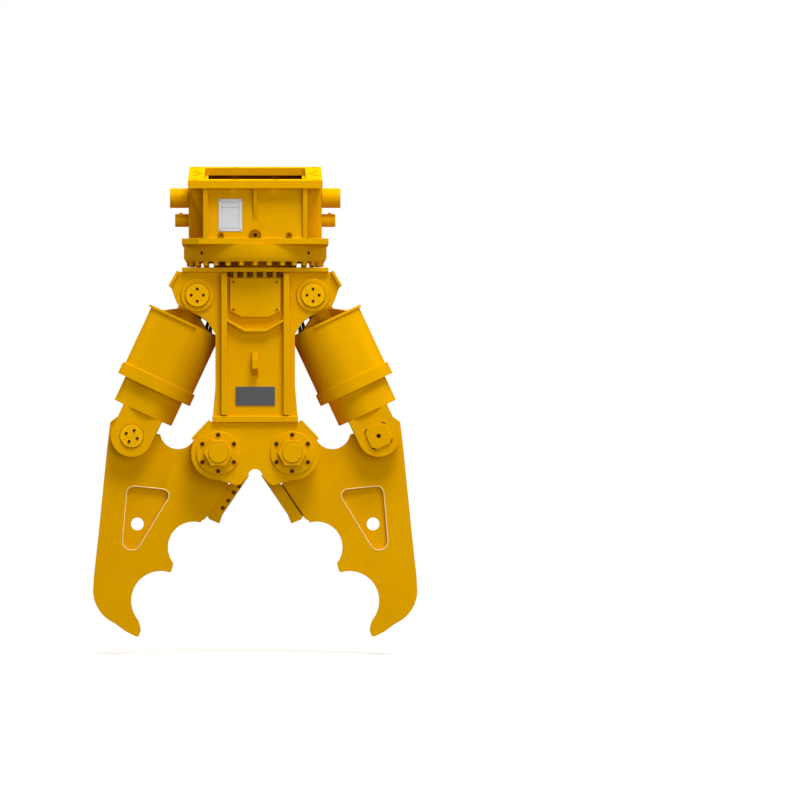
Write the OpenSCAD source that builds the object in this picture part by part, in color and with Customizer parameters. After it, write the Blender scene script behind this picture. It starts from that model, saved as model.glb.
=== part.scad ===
// Hydraulic concrete crusher for an excavator, hung from its mounting flange.
// The origin is on the slew axis, level with the middle of the flange's upper face.
// X runs across the two jaws, Y runs from front to rear, Z is up.

/* [Mounting flange] */
// Width of the flange across X
flange_w = 613; // [600:1:640]
// Reach of the flange in front of the slew axis
flange_front = 357; // [350:1:375]
// Reach of the flange behind the slew axis
flange_rear = 404; // [396:1:420]
// Thickness, square to the plate
flange_t = 35; // [20:1:45]
// Tilt of the flange, rising to the rear
flange_tilt = 6.72; // [2:0.01:9]
// Width of the border on each side of the hose window
border_w = 74.5; // [70.5:0.5:116.5]
// Reach of the window in front of the slew axis
window_front = 291; // [220:1:296]
// Reach of the window behind the slew axis
window_rear = 338; // [240:1:342]
// Corner radius of the window
window_r = 25; // [10:1:60]
// Diameter of a mounting bolt hole
mount_hole_d = 33; // [20:0.5:36]
// Middle of the outer mounting holes from the flange's side edges
mount_edge = 30.5; // [27.5:0.5:39.5]
// Pitch of the mounting holes along Y
mount_pitch_y = 230; // [226:1:232]
// Middle of the hole pattern behind the slew axis
mount_mid_y = 23.5; // [20:0.5:26]
// Width of the oval drain hole in each side border
oval_w = 33; // [16:1:40]
// Length of the oval drain hole
oval_l = 50; // [42:1:80]

/* [Head box] */
// Height from the slew head's base plate to the flange's upper face
head_h = 303; // [280:1:340]
// Outside of a side wall from the middle
wall_x = 237; // [234:1:255]
// Thickness of the side walls
wall_t = 20; // [8:1:30]
// Reach of a side wall's front edge at its foot
wall_foot_front = 317; // [308:1:317]
// Reach of a side wall's front edge under the flange
wall_top_front = 345; // [320:1:348]
// Outer face of the front wall in front of the slew axis
front_wall_y = 303; // [290:1:305]
// Thickness of the front wall
front_wall_t = 12; // [6:1:20]
// Thickness of the rear plate
rear_plate_t = 20; // [8:1:30]
// Half width of the rear plate below its ears
rear_plate_x = 255; // [240:1:290]
// Height of the rear plate's ears below the origin
ear_drop = 12; // [5:1:40]
// Height of the slope from an ear to the plate's edge
ear_slope = 48; // [20:1:90]
// Thickness of the small gussets
gusset_t = 14; // [6:1:24]
// Drop of the side gussets under the flange
gusset_drop = 159; // [80:1:200]
// Front side gussets in front of the slew axis
gusset_front_y = 198; // [60:1:280]
// Rear side gussets behind the slew axis
gusset_rear_y = 264; // [200:1:340]
// Thickness of the middle gusset
mid_gusset_t = 16; // [6:1:30]
// Drop of the middle gusset under the flange
mid_gusset_drop = 146; // [80:1:200]
// Half width of the base plate
base_x = 335; // [332:1:360]
// Reach of the base plate in front of the slew axis
base_front = 317; // [317:1:345]
// Reach of the base plate behind the slew axis
base_rear = 395; // [385:1:404]
// Thickness of the base plate
base_t = 27; // [14:1:40]
// Corner chamfer of the base plate
base_chamfer = 80; // [20:1:120]

/* [Hydraulic ports] */
// Front face of a port block in front of the slew axis
block_front = 5; // [0:1:30]
// Rear face of a port block behind the slew axis
block_rear = 116; // [112:1:140]
// Extra reach of the block's flared foot
block_flare = 53; // [10:1:80]
// Height at which the flare starts, below the origin
flare_drop = 120; // [80:1:200]
// Radius of the block's front edge
block_edge_r = 14; // [4:1:30]
// Radius of the large capped port
large_port_r = 45.5; // [20:0.5:48]
// Reach of the large port from the block
large_port_l = 86; // [60:1:120]
// Large port behind the slew axis
large_port_y = 42; // [42:1:66]
// Large port below the origin
large_port_drop = 110; // [104:1:130]
// Radius of the small capped port
small_port_r = 30; // [14:0.5:36]
// Reach of the small port from the block
small_port_l = 63; // [50:1:100]
// Small port behind the slew axis
small_port_y = 78; // [50:1:84]
// Small port below the origin
small_port_drop = 212; // [208:1:250]
// Angle of the bleed plugs above the horizontal, to the rear
plug_angle = 42; // [0:1:80]
// Height of a bleed plug
plug_h = 13; // [5:1:25]
// Corner radius of a hexagonal bleed plug
plug_r = 13; // [6:1:18]
// Bleed plug back from a port's end
plug_back = 26; // [20:1:34]

/* [Plates and fittings on the head] */
// Thickness of the rear inspection plate
cover_plate_t = 8; // [3:1:16]
// Height of the rear inspection plate
cover_plate_h = 124; // [80:1:126]
// Left edge of the rear inspection plate, from the middle
cover_plate_left = 200; // [120:1:240]
// Right edge of the rear inspection plate, from the middle
cover_plate_right = 146; // [90:1:240]
// Radius of a screw head on the inspection plate
cover_plate_screw_r = 9; // [4:1:14]
// Width of a name plate
name_plate_w = 107; // [60:1:120]
// Height of a name plate
name_plate_h = 148; // [60:1:150]
// Thickness of a name plate
name_plate_t = 3; // [1:0.5:6]
// Middle of the front name plate, left of the middle
name_plate_x = 113; // [90:1:140]
// Middle of the name plates below the origin
name_plate_drop = 198; // [192:1:200]
// Radius of a rivet head
rivet_r = 4; // [2:0.5:8]
// Thickness of the lugs at the foot of the front wall
foot_lug_t = 14; // [6:1:14]
// Radius of the middle foot lug
foot_lug_r = 27; // [15:1:40]
// Radius of the side foot lugs
side_lug_r = 13.5; // [8:0.5:20]
// Side foot lugs from the middle
side_lug_x = 155; // [70:1:190]

/* [Slewing drive] */
// Radius of the swivel housing
housing_r = 328; // [324:1:332]
// Height of the swivel housing
housing_h = 78; // [70:1:110]
// Width of the chamfer round the housing's foot
housing_chamfer = 10; // [2:1:12]
// Middle of the ring bolts from the housing's outside
ring_bolt_edge = 25; // [24:1:78]
// Number of ring bolts
ring_bolts_n = 30; // [12:1:36]
// Corner radius of a ring bolt's head
ring_bolt_r = 13; // [8:0.5:15]
// Height of a ring bolt's head
ring_bolt_h = 19; // [8:1:24]
// Radius of a ring bolt's shank
ring_shank_r = 8; // [4:0.5:8]
// Open height between the housing and the turntable plate
slew_gap = 26; // [25:1:40]
// Outside radius of the bearing's outer ring
ring_out_r = 220; // [205:1:230]
// Running radius between the two rings
ring_mid_r = 190; // [182:1:200]
// Radial play of every running fit
play = 0.05; // [0.02:0.01:0.1]
// Gear module of the slewing drive
gear_module = 8; // [7:0.5:8]
// Teeth of the ring gear
ring_teeth = 40; // [40:2:40]
// Teeth of the pinion
pinion_teeth = 12; // [12:2:12]
// Face width of the gears
gear_w = 50; // [30:1:54]
// Radius of the slew motor's body
motor_r = 46; // [30:1:50]
// Height of the slew motor
motor_h = 163; // [100:1:180]
// Radius of the pinion shaft
pinion_shaft_r = 20; // [10:1:24]
// Radius of the rotary joint's shaft
rotor_r = 30; // [16:1:34]
// Radius of the rotary joint's sleeve
stator_r = 48; // [40:1:50]
// Height of the rotary joint's sleeve
stator_h = 123; // [60:1:180]

/* [Body] */
// Half width of the turntable plate
turntable_x = 335; // [320:1:342]
// Half depth of the turntable plate
turntable_y = 204; // [204:1:215]
// Thickness of the turntable plate
turntable_t = 20; // [10:1:40]
// Bolts in a row under the turntable plate
turntable_bolts_n = 6; // [2:1:6]
// Pitch of the bolts under the turntable plate
turntable_bolt_pitch = 45; // [28:1:45]
// Outer face of the body plates from the middle
body_y = 176; // [170:1:176]
// Thickness of the body plates
body_t = 28; // [12:1:28]
// Height of the body plates
body_h = 687; // [670:1:760]
// Half width of the column between the body plates
column_x = 118; // [80:1:118]
// Thickness of the column's side webs
web_t = 20; // [8:1:30]
// Thickness of the end guards on the wings
guard_t = 14; // [6:1:24]
// Half depth of the end guards
guard_y = 200; // [180:1:204]
// Inner side of the column ribs from the middle
rib_x = 129; // [128:1:140]
// Thickness of the column ribs
rib_t = 26; // [10:1:30]
// How far the ribs stand out at the top
rib_out_top = 54; // [34:1:60]
// How far the ribs stand out at the bottom
rib_out_foot = 33; // [10:1:34]
// Thickness of the V bars
v_bar_t = 11; // [5:1:20]
// How far the V bars stand out
v_bar_out = 42; // [20:1:44]
// Height of the ledge bars
ledge_h = 27; // [12:1:30]
// How far the ledge bars stand out
ledge_out = 29; // [10:1:40]
// Half width of the valve covers
valve_cover_x = 115; // [100:1:120]
// Height of the valve covers
valve_cover_h = 175; // [140:1:178]
// How far the valve covers stand out
valve_cover_out = 30; // [12:1:40]
// Wall of the valve covers
valve_cover_wall = 6; // [3:0.5:10]
// Radius of a screw head on a valve cover
cover_screw_r = 8; // [4:0.5:10]
// Thickness of the lifting lugs
lug_t = 27; // [12:1:40]
// How far the lifting lugs stand out
lug_out = 64; // [50:1:80]
// Height of a lifting lug at its root
lug_h = 111; // [90:1:140]
// Diameter of a lifting lug's hole
lug_hole_d = 26; // [14:1:32]
// Half width of the badge plates
badge_x = 90; // [50:1:110]
// Height of the badge plates
badge_h = 87; // [50:1:90]
// Thickness of the badge plates
badge_t = 6; // [2:0.5:12]

/* [Jaw pivots] */
// Jaw pivots from the middle
pivot_x = 169; // [168:1:172]
// Jaw pivots below the body plates
pivot_drop = 141; // [141:1:150]
// Inner face of the pivot plates from the middle
pivot_plate_in = 145; // [142:1:147]
// Thickness of the pivot plates
pivot_plate_t = 39; // [34:1:50]
// Radius of the pivot plates round a jaw pivot
lobe_r = 124; // [122:1:126]
// Radius of a pivot pin
pivot_pin_r = 62; // [40:1:66]
// Radius of a pivot pin's head
pivot_head_r = 85; // [72:1:100]
// Thickness of a pivot pin's head
pivot_head_t = 17; // [8:1:30]
// Radius of a pivot pin's threaded end
pivot_thread_r = 44; // [25:1:50]
// Radius of a pivot flange
pivot_flange_r = 99; // [95:1:115]
// Thickness of a pivot flange
pivot_flange_t = 16; // [8:1:30]
// Width of the pivot nut across its flats
pivot_nut_af = 114; // [102:1:120]
// Height of the pivot nut
pivot_nut_h = 44; // [20:1:60]
// Radius of the bolt circle on a pivot flange
pivot_bolt_circle_r = 83; // [80:1:86]
// Radius of a pivot flange bolt's head
pivot_bolt_r = 10; // [5:0.5:11]
// Thickness of the shoulder guards
shoulder_t = 12; // [5:1:16]
// Half width of the arch in a shoulder guard
shoulder_arch = 52; // [40:1:64]

/* [Upper cylinder pins] */
// Upper pins from the middle
upper_pin_x = 264.5; // [258:0.5:268]
// Upper pins below the turntable plate
upper_pin_drop = 106.5; // [100:0.5:112]
// Radius of an upper pin
upper_pin_r = 45; // [30:1:50]
// Radius of the pad round an upper pin
pin_pad_r = 75; // [64:1:80]
// Thickness of the pad round an upper pin
pin_pad_t = 14; // [6:1:20]
// Radius of a pin cover
pin_cover_r = 54; // [40:1:62]
// Thickness of a pin cover
pin_cover_t = 13; // [5:1:20]
// Radius of the screw circle on a pin cover
pin_screw_circle_r = 27.6; // [16:0.2:30]
// Radius of an upper pin's rear head
rear_head_r = 78; // [60:1:82]
// Thickness of an upper pin's rear head
rear_head_t = 27; // [12:1:40]

/* [Cylinders] */
// Lower cylinder pins from their jaw pivots, outwards
eye_out = 396.5; // [390:0.5:400]
// Lower cylinder pins above their jaw pivots
eye_up = 77.7; // [74:0.1:82]
// Radius of the barrel
barrel_r = 144; // [130:1:144]
// Wall of the barrel
barrel_wall = 28; // [14:1:34]
// Top of the barrel below the upper pin
barrel_top = 150; // [144:1:170]
// Length of the barrel's gland
gland_l = 50; // [30:1:90]
// Radius of the rod
rod_r = 60; // [40:1:64]
// Radius of the rod's eye
rod_eye_r = 70; // [56:1:74]
// Height of the piston
piston_h = 60; // [30:1:80]
// Outer radius of the guard sleeve
sleeve_r = 171; // [168:1:174]
// Wall of the guard sleeve
sleeve_wall = 12; // [5:1:20]
// Top of the guard sleeve below the upper pin
sleeve_top = 129; // [126:1:134]
// Foot of the guard sleeve below the upper pin
sleeve_foot = 476; // [440:1:490]
// Height of the guard sleeve's collar
collar_h = 55; // [20:1:90]
// How far the collar and the lip stand out from the sleeve
collar_out = 11; // [4:1:13]
// Thickness of the sleeve's inner ribs
sleeve_rib_t = 12; // [5:1:20]
// Foot of the barrel above the lower pin
barrel_foot = 116; // [114:1:125]
// Half width of the clevis
clevis_x = 96; // [80:1:98]
// Outer face of the clevis from the middle
clevis_y = 125; // [118:1:132]
// Half width of the slot in the clevis
clevis_slot = 66; // [64:1:74]
// Radius of the lower pin
lower_pin_r = 42; // [30:1:44]
// Radius of the lower pin's cover
lower_cover_r = 53; // [46:1:60]
// Thickness of the lower pin's cover
lower_cover_t = 9; // [4:1:14]
// Width of the lower pin's square head
keeper_w = 104; // [90:1:116]
// Thickness of the lower pin's square head
keeper_t = 15; // [6:1:24]

/* [Jaws] */
// Thickness of a jaw
jaw_t = 66; // [60:1:66]
// Radius of a jaw's hub
hub_r = 120; // [100:1:121]
// Radial wall of the hub's bush
bush_wall = 12; // [6:1:16]
// Radius of a jaw's eye
eye_r = 100; // [90:1:104]
// Radius of the pads round the eye
eye_pad_r = 90; // [70:1:96]
// Half width over the eye's pads
eye_pad_y = 62; // [50:1:63]
// Radial room of the lower pin in the jaw's eye
eye_room = 9; // [8.5:0.5:14]
// Radius of the outer heel of a jaw
heel_r = 166; // [150:1:170]
// Radius of the lower bite
lower_bite_r = 138; // [130:1:142]
// Radius of the upper bite
upper_bite_r = 119; // [110:1:122]
// Radius of the notch between the hub and the eye
notch_r = 84; // [70:1:90]
// Thickness of the web in the side pocket
pocket_web_t = 20; // [12:1:40]
// Diameter of the hole in the side pocket
pocket_hole_d = 59; // [30:1:70]
// Thickness of a blade
blade_t = 19; // [12:1:22]
// Room between a blade and the middle plane
blade_room = 1; // [0.5:0.1:3]
// Radius of a blade bolt's head
blade_bolt_r = 10; // [7:0.5:13]
// Radius of a blade bolt's shank
blade_shank_r = 6; // [4:0.5:7]

/* [Hidden] */
$fn = 96;

paint = [0.86, 0.63, 0.03];
bare_steel = [0.62, 0.62, 0.6];
dark_steel = [0.3, 0.3, 0.31];
plate_grey = [0.82, 0.82, 0.82];
badge_grey = [0.2, 0.2, 0.21];
// How far a cut runs past the face that it opens
past = 5;
// Gap between two parts that are drawn as one group
seat = 0.2;
// Clearance between parts that move past each other
clear = 0.3;

// Heights of the faces, from the flange down to the jaw pivots
base_z = -head_h;
housing_top = base_z - base_t;
housing_foot = housing_top - housing_h;
turntable_top = housing_foot - slew_gap;
body_top = turntable_top - turntable_t;
body_foot = body_top - body_h;
pivot_z = body_foot - pivot_drop;
upper_pin_z = body_top - upper_pin_drop;

// Places that follow from a plate's width and the margins on it
window_w = flange_w - 2 * border_w;
mount_pitch_x = (flange_w - 2 * mount_edge) / 3;
ring_bolt_pcd_r = housing_r - ring_bolt_edge;

// The upper and lower pins of the right cylinder, and the cylinder's length and lean
upper_pin = [upper_pin_x, upper_pin_z];
lower_pin = [pivot_x + eye_out, pivot_z + eye_up];
cylinder_l = norm(lower_pin - upper_pin);
cylinder_lean = atan2(lower_pin[0] - upper_pin[0], upper_pin[1] - lower_pin[1]);

function flange_top(y) = tan(flange_tilt) * y;
function flange_under(y) = flange_top(y) - flange_t / cos(flange_tilt);
function mirrored(half) = concat(half, [for (i = [len(half) - 1 : -1 : 0]) [-half[i][0], half[i][1]]]);

// One corner of an outline, rounded by an arc; p is the corner before it and s the corner after it
corner_steps = 8;
function unit(v) = v / norm(v);
function corner(p, q, s, r) =
    let (a = unit(p - q), b = unit(s - q), half = acos(a * b) / 2)
    let (centre = q + unit(a + b) * r / sin(half), first = q + a * r / tan(half) - centre)
    let (start = atan2(first[1], first[0]), turn = (180 - 2 * half) * sign(cross(q - p, s - q)))
    [for (i = [0 : corner_steps]) centre + r * [cos(start + turn * i / corner_steps),
                                                 sin(start + turn * i / corner_steps)]];
// Outline through the corners [x, y, radius]
function rounded(corners) = let (n = len(corners)) [for (i = [0 : n - 1])
    let (c = corners[i], before = corners[(i + n - 1) % n], after = corners[(i + 1) % n])
    each c[2] == 0 ? [[c[0], c[1]]]
        : corner([before[0], before[1]], [c[0], c[1]], [after[0], after[1]], c[2])];

// Plate drawn in X and Z, between two places along Y
module plate_xz(from, to) {
    translate([0, to, 0]) rotate([90, 0, 0]) linear_extrude(to - from) children();
}
// Plate drawn in Y and Z, between two places along X
module plate_yz(from, to) {
    translate([from, 0, 0]) rotate([90, 0, 90]) linear_extrude(to - from) children();
}
module rod_y(r, from, to, sides = $fn) {
    translate([0, to, 0]) rotate([90, 0, 0]) cylinder(r = r, h = to - from, $fn = sides);
}
module rod_x(r, from, to) {
    translate([from, 0, 0]) rotate([0, 90, 0]) cylinder(r = r, h = to - from);
}
module both_sides() {
    children();
    mirror([1, 0, 0]) children();
}
module front_and_rear() {
    children();
    mirror([0, 1, 0]) children();
}
// The left jaw and cylinder are the right ones turned half round the slew axis
module as_left() {
    rotate([0, 0, 180]) children();
}
module box(low, high) {
    translate(low) cube(high - low);
}

// Head: everything that stays with the excavator's arm

// Space between the base plate's top and the flange's underside
module under_flange() {
    reach = flange_rear;
    plate_yz(-flange_w, flange_w) polygon([[-reach, flange_under(-reach)], [reach, flange_under(reach)],
        [reach, base_z], [-reach, base_z]]);
}
module rounded_box(x, front, rear, r) {
    translate([-x, -front + r]) square([2 * x, front + rear - 2 * r]);
    translate([-x + r, -front]) square([2 * (x - r), front + rear]);
    for (sx = [-1, 1], y = [-front + r, rear - r]) translate([sx * (x - r), y]) circle(r);
}
module slot_outline(w, l) {
    square([w, l - w], center = true);
    for (s = [-1, 1]) translate([0, s * (l - w) / 2]) circle(d = w);
}
// The drain holes are nearer to the window than to the flange's edge
oval_inward = 9;
border_x = (window_w + flange_w) / 4 - oval_inward;
module mounting_flange() {
    color(paint) difference() {
        plate_yz(-flange_w / 2, flange_w / 2) polygon([
            [-flange_front, flange_top(-flange_front)], [flange_rear, flange_top(flange_rear)],
            [flange_rear, flange_under(flange_rear)], [-flange_front, flange_under(-flange_front)]]);
        rotate([flange_tilt, 0, 0]) translate([0, 0, -flange_t - past]) {
            linear_extrude(flange_t + 2 * past) rounded_box(window_w / 2, window_front, window_rear, window_r);
            for (i = [0 : 3], j = [0 : 3])
                if (i == 0 || i == 3 || j == 0 || j == 3)
                    translate([(i - 1.5) * mount_pitch_x, mount_mid_y + (j - 1.5) * mount_pitch_y, 0])
                        cylinder(d = mount_hole_d, h = flange_t + 2 * past);
            both_sides() translate([border_x, mount_mid_y, 0])
                linear_extrude(flange_t + 2 * past) slot_outline(oval_w, oval_l);
        }
    }
}

module head_base_plate() {
    c = base_chamfer;
    color(paint) difference() {
        translate([0, 0, housing_top]) linear_extrude(base_t) polygon(mirrored([
            [base_x - c, -base_front], [base_x, -base_front + c], [base_x, base_rear - c],
            [base_x - c, base_rear]]));
        translate([0, 0, housing_top - past]) cylinder(r = stator_bore_r, h = base_t + 2 * past);
        translate([0, gear_centre, housing_top - past])
            cylinder(r = pinion_shaft_r + past, h = base_t + 2 * past);
    }
}

rear_plate_in = flange_rear - rear_plate_t;
module head_side_walls() {
    color(paint) both_sides() plate_yz(wall_x - wall_t, wall_x) polygon([
        [-wall_foot_front, base_z], [-wall_top_front, flange_under(-wall_top_front)],
        [rear_plate_in, flange_under(rear_plate_in)], [rear_plate_in, base_z]]);
}

module head_front_wall() {
    in_x = wall_x - wall_t;
    color(paint) intersection() {
        under_flange();
        box([-in_x, -front_wall_y, base_z], [in_x, -front_wall_y + front_wall_t, flange_t]);
    }
}

module head_rear_plate() {
    ear = -ear_drop;
    color(paint) intersection() {
        under_flange();
        plate_xz(rear_plate_in, flange_rear) polygon(mirrored([[flange_w / 2, 2 * flange_t],
            [flange_w / 2, ear], [rear_plate_x, ear - ear_slope], [rear_plate_x, base_z]]));
    }
}

module side_gusset(y) {
    top = flange_under(y);
    plate_xz(y - gusset_t / 2, y + gusset_t / 2) polygon([[wall_x, top + past], [flange_w / 2, top + past],
        [flange_w / 2, top], [wall_x, top - gusset_drop]]);
}
module head_gussets() {
    top = flange_under(-wall_top_front);
    color(paint) intersection() {
        under_flange();
        union() {
            both_sides() side_gusset(-gusset_front_y);
            both_sides() side_gusset(gusset_rear_y);
            plate_yz(-mid_gusset_t / 2, mid_gusset_t / 2) polygon([[-wall_top_front, top],
                [-wall_top_front, 0], [-front_wall_y, 0], [-front_wall_y, top - mid_gusset_drop]]);
        }
    }
}

port_face = flange_w / 2;
// The flare's radius follows from its rise and its reach
flare_rise = head_h - flare_drop;
flare_r = (pow(flare_rise, 2) + pow(block_flare, 2)) / (2 * block_flare);
module port_blocks() {
    foot_rear = block_rear + block_flare;
    color(paint) both_sides() difference() {
        intersection() {
            under_flange();
            translate([0, 0, base_z]) linear_extrude(head_h + flange_t) polygon(rounded([
                [wall_x, -block_front, 0], [port_face, -block_front, block_edge_r],
                [port_face, foot_rear, 0], [wall_x, foot_rear, 0]]));
        }
        box([0, block_rear, -flare_drop], [flange_w, foot_rear + past, flange_t]);
        translate([0, block_rear + flare_r, -flare_drop]) rod_x(flare_r, 0, flange_w);
    }
}

module swivel_ports() {
    color(paint) both_sides() {
        translate([0, large_port_y, -large_port_drop])
            rod_x(large_port_r, port_face, port_face + large_port_l);
        translate([0, small_port_y, -small_port_drop])
            rod_x(small_port_r, port_face, port_face + small_port_l);
    }
}

// Hexagonal plug that sits square on a port's round side
module bleed_plug(port_r, y, drop, reach) {
    translate([port_face + reach - plug_back, y, -drop]) difference() {
        rotate([plug_angle - 90, 0, 0]) cylinder(r = plug_r, h = port_r + plug_h, $fn = 6);
        rod_x(port_r, -port_face, port_face);
    }
}
module bleed_plugs() {
    color(bare_steel) both_sides() {
        bleed_plug(large_port_r, large_port_y, large_port_drop, large_port_l);
        bleed_plug(small_port_r, small_port_y, small_port_drop, small_port_l);
    }
}

cover_plate_corner = [38, 20];
cover_plate_inset = 20;
cover_plate_face = flange_rear + cover_plate_t;
cover_plate_gap = 1;
cover_plate_top = flange_under(rear_plate_in) - cover_plate_gap;
module head_cover_plate() {
    foot = cover_plate_top - cover_plate_h;
    color(paint) plate_xz(flange_rear, cover_plate_face) polygon([
        [-cover_plate_left, cover_plate_top], [cover_plate_right, cover_plate_top],
        [cover_plate_right, foot + cover_plate_corner[1]], [cover_plate_right - cover_plate_corner[0], foot],
        [-cover_plate_left + cover_plate_corner[0], foot], [-cover_plate_left, foot + cover_plate_corner[1]]]);
}

module name_plate(face, outward) {
    low = min(face, face + outward * name_plate_t);
    translate([-name_plate_x, low, -name_plate_drop]) plate_xz(0, name_plate_t)
        square([name_plate_w, name_plate_h], center = true);
}
module name_plates() {
    color(plate_grey) {
        name_plate(-front_wall_y, -1);
        name_plate(flange_rear, 1);
    }
}

rivet_inset = 8;
rivet_h = 2;
screw_h = 6;
module head_screws() {
    low = cover_plate_top - cover_plate_h + 2 * cover_plate_inset;
    color(bare_steel) {
        for (sx = [-1, 1], sz = [-1, 1])
            translate([-name_plate_x + sx * (name_plate_w / 2 - rivet_inset), 0,
                       -name_plate_drop + sz * (name_plate_h / 2 - rivet_inset)]) {
                rod_y(rivet_r, -front_wall_y - name_plate_t - rivet_h, -front_wall_y - name_plate_t);
                rod_y(rivet_r, flange_rear + name_plate_t, flange_rear + name_plate_t + rivet_h);
            }
        for (x = [-cover_plate_left + cover_plate_inset, cover_plate_right - cover_plate_inset],
             z = [low, cover_plate_top - cover_plate_inset])
            translate([x, 0, z]) rod_y(cover_plate_screw_r, cover_plate_face, cover_plate_face + screw_h);
    }
}

// Round-topped lug on the base plate, with a socket in its face
module foot_lug(x, r, rise) {
    socket_r = r / 3;
    translate([x, 0, base_z]) difference() {
        union() {
            translate([0, 0, rise]) rod_y(r, -foot_lug_t, 0);
            box([-r, -foot_lug_t, 0], [r, 0, rise]);
        }
        translate([0, 0, rise]) rod_y(socket_r, -foot_lug_t - past, -foot_lug_t / 2, 6);
        box([-r, -foot_lug_t - past, -2 * r], [r, past, 0]);
    }
}
module foot_lugs() {
    color(paint) translate([0, -front_wall_y, 0]) {
        foot_lug(0, foot_lug_r, foot_lug_r / 2);
        both_sides() foot_lug(side_lug_x, side_lug_r, side_lug_r);
    }
}

// Slewing drive between the head and the turntable

disc_t = 15;
disc_bore_r = 175;
grease_hole_r = 5;
grease_hole_angle = 42;
gear_top = housing_top - disc_t - past;
gear_foot = gear_top - gear_w;
ring_pitch_r = ring_teeth * gear_module / 2;
pinion_pitch_r = pinion_teeth * gear_module / 2;
gear_centre = ring_pitch_r - pinion_pitch_r;
stator_bore_r = rotor_r + 10;
module swivel_housing() {
    outer = housing_r - housing_chamfer;
    color(paint) difference() {
        rotate_extrude() polygon([[disc_bore_r, housing_top], [housing_r, housing_top],
            [housing_r, housing_foot + 2 * housing_chamfer], [outer, housing_foot], [ring_out_r, housing_foot],
            [ring_out_r, housing_top - disc_t], [disc_bore_r, housing_top - disc_t]]);
        for (a = [grease_hole_angle, 180 - grease_hole_angle, 180 + grease_hole_angle, -grease_hole_angle])
            rotate([0, 0, a]) translate([0, 0, (housing_top + housing_foot) / 2 + past])
                rod_x(grease_hole_r, ring_bolt_pcd_r + ring_shank_r + past, housing_r + past);
        ring_of_bolts() translate([0, 0, housing_foot - past])
            cylinder(r = ring_shank_r, h = housing_h + 2 * past);
    }
}

module ring_of_bolts() {
    for (i = [0 : ring_bolts_n - 1]) rotate([0, 0, (i + 0.5) * 360 / ring_bolts_n])
        translate([ring_bolt_pcd_r, 0, 0]) children();
}
module slew_ring_bolts() {
    color(bare_steel) ring_of_bolts() {
        translate([0, 0, housing_foot - ring_bolt_h]) cylinder(r = ring_bolt_r, h = ring_bolt_h, $fn = 6);
        translate([0, 0, housing_foot - past]) cylinder(r = ring_shank_r, h = housing_h + past);
    }
}

module ring(inner, outer, low, high) {
    rotate_extrude() translate([inner, low]) square([outer - inner, high - low]);
}
module slew_ring_outer() {
    color(dark_steel) ring(ring_mid_r + play, ring_out_r, housing_foot + clear, housing_top - disc_t);
}

// Straight-sided tooth between its tip and its root, along X
module tooth(tip, root, tip_half, root_half) {
    polygon([[tip, -tip_half], [root, -root_half], [root, root_half], [tip, tip_half]]);
}
tooth_reach = 0.8 * gear_module;
tooth_tip_half = 0.36 * gear_module;
tooth_root_half = 0.72 * gear_module;
module slew_ring_gear() {
    root = ring_pitch_r + gear_module;
    color(dark_steel) {
        ring(root, ring_mid_r, turntable_top, gear_top);
        for (i = [0 : ring_teeth - 1]) rotate([0, 0, i * 360 / ring_teeth])
            translate([0, 0, gear_foot]) linear_extrude(gear_w)
                tooth(ring_pitch_r - tooth_reach, root + past, tooth_tip_half, tooth_root_half + past / 2);
    }
}
module slew_pinion() {
    root = pinion_pitch_r - gear_module;
    color(dark_steel) translate([0, gear_centre, 0]) {
        translate([0, 0, gear_foot]) cylinder(r = root, h = gear_w);
        for (i = [0 : pinion_teeth - 1]) rotate([0, 0, (i + 0.5) * 360 / pinion_teeth])
            translate([0, 0, gear_foot]) linear_extrude(gear_w)
                tooth(pinion_pitch_r + tooth_reach, root - past, tooth_tip_half, tooth_root_half + past / 4);
        translate([0, 0, gear_foot]) cylinder(r = pinion_shaft_r, h = base_z + motor_seat_t - gear_foot - past);
    }
}
motor_seat_t = 20;
motor_gap = 2;
motor_seat_r = gear_centre - stator_r - motor_gap;
module slew_motor() {
    color(dark_steel) translate([0, gear_centre, base_z]) difference() {
        union() {
            cylinder(r = motor_seat_r, h = motor_seat_t);
            cylinder(r = motor_r, h = motor_h);
        }
        translate([0, 0, -past]) cylinder(r = pinion_shaft_r + play, h = motor_seat_t + past);
    }
}
module swivel_stator() {
    cap_t = 5;
    color(dark_steel) translate([0, 0, base_z]) difference() {
        cylinder(r = stator_r, h = stator_h);
        translate([0, 0, -past]) cylinder(r = rotor_r + play, h = stator_h - cap_t + past);
    }
}
module swivel_rotor() {
    flange_r = 2 * rotor_r;
    foot_flange_t = 14;
    color(dark_steel) {
        translate([0, 0, body_top]) cylinder(r = rotor_r, h = base_z + stator_h - 2 * past - body_top);
        translate([0, 0, turntable_top]) cylinder(r = flange_r, h = foot_flange_t);
    }
}

// Body: everything that slews under the head

module turntable_plate() {
    color(paint) difference() {
        box([-turntable_x, -turntable_y, body_top], [turntable_x, turntable_y, turntable_top]);
        translate([0, 0, body_top - past]) cylinder(r = rotor_r, h = turntable_t + 2 * past);
    }
}

row_bolt_r = 13;
row_bolt_h = 24;
module turntable_bolts() {
    y = body_y + row_bolt_r + 1;
    color(bare_steel) front_and_rear() for (i = [0 : turntable_bolts_n - 1])
        translate([(i - (turntable_bolts_n - 1) / 2) * turntable_bolt_pitch, -y, body_top - row_bolt_h])
            cylinder(r = row_bolt_r, h = row_bolt_h, $fn = 6);
}

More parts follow.
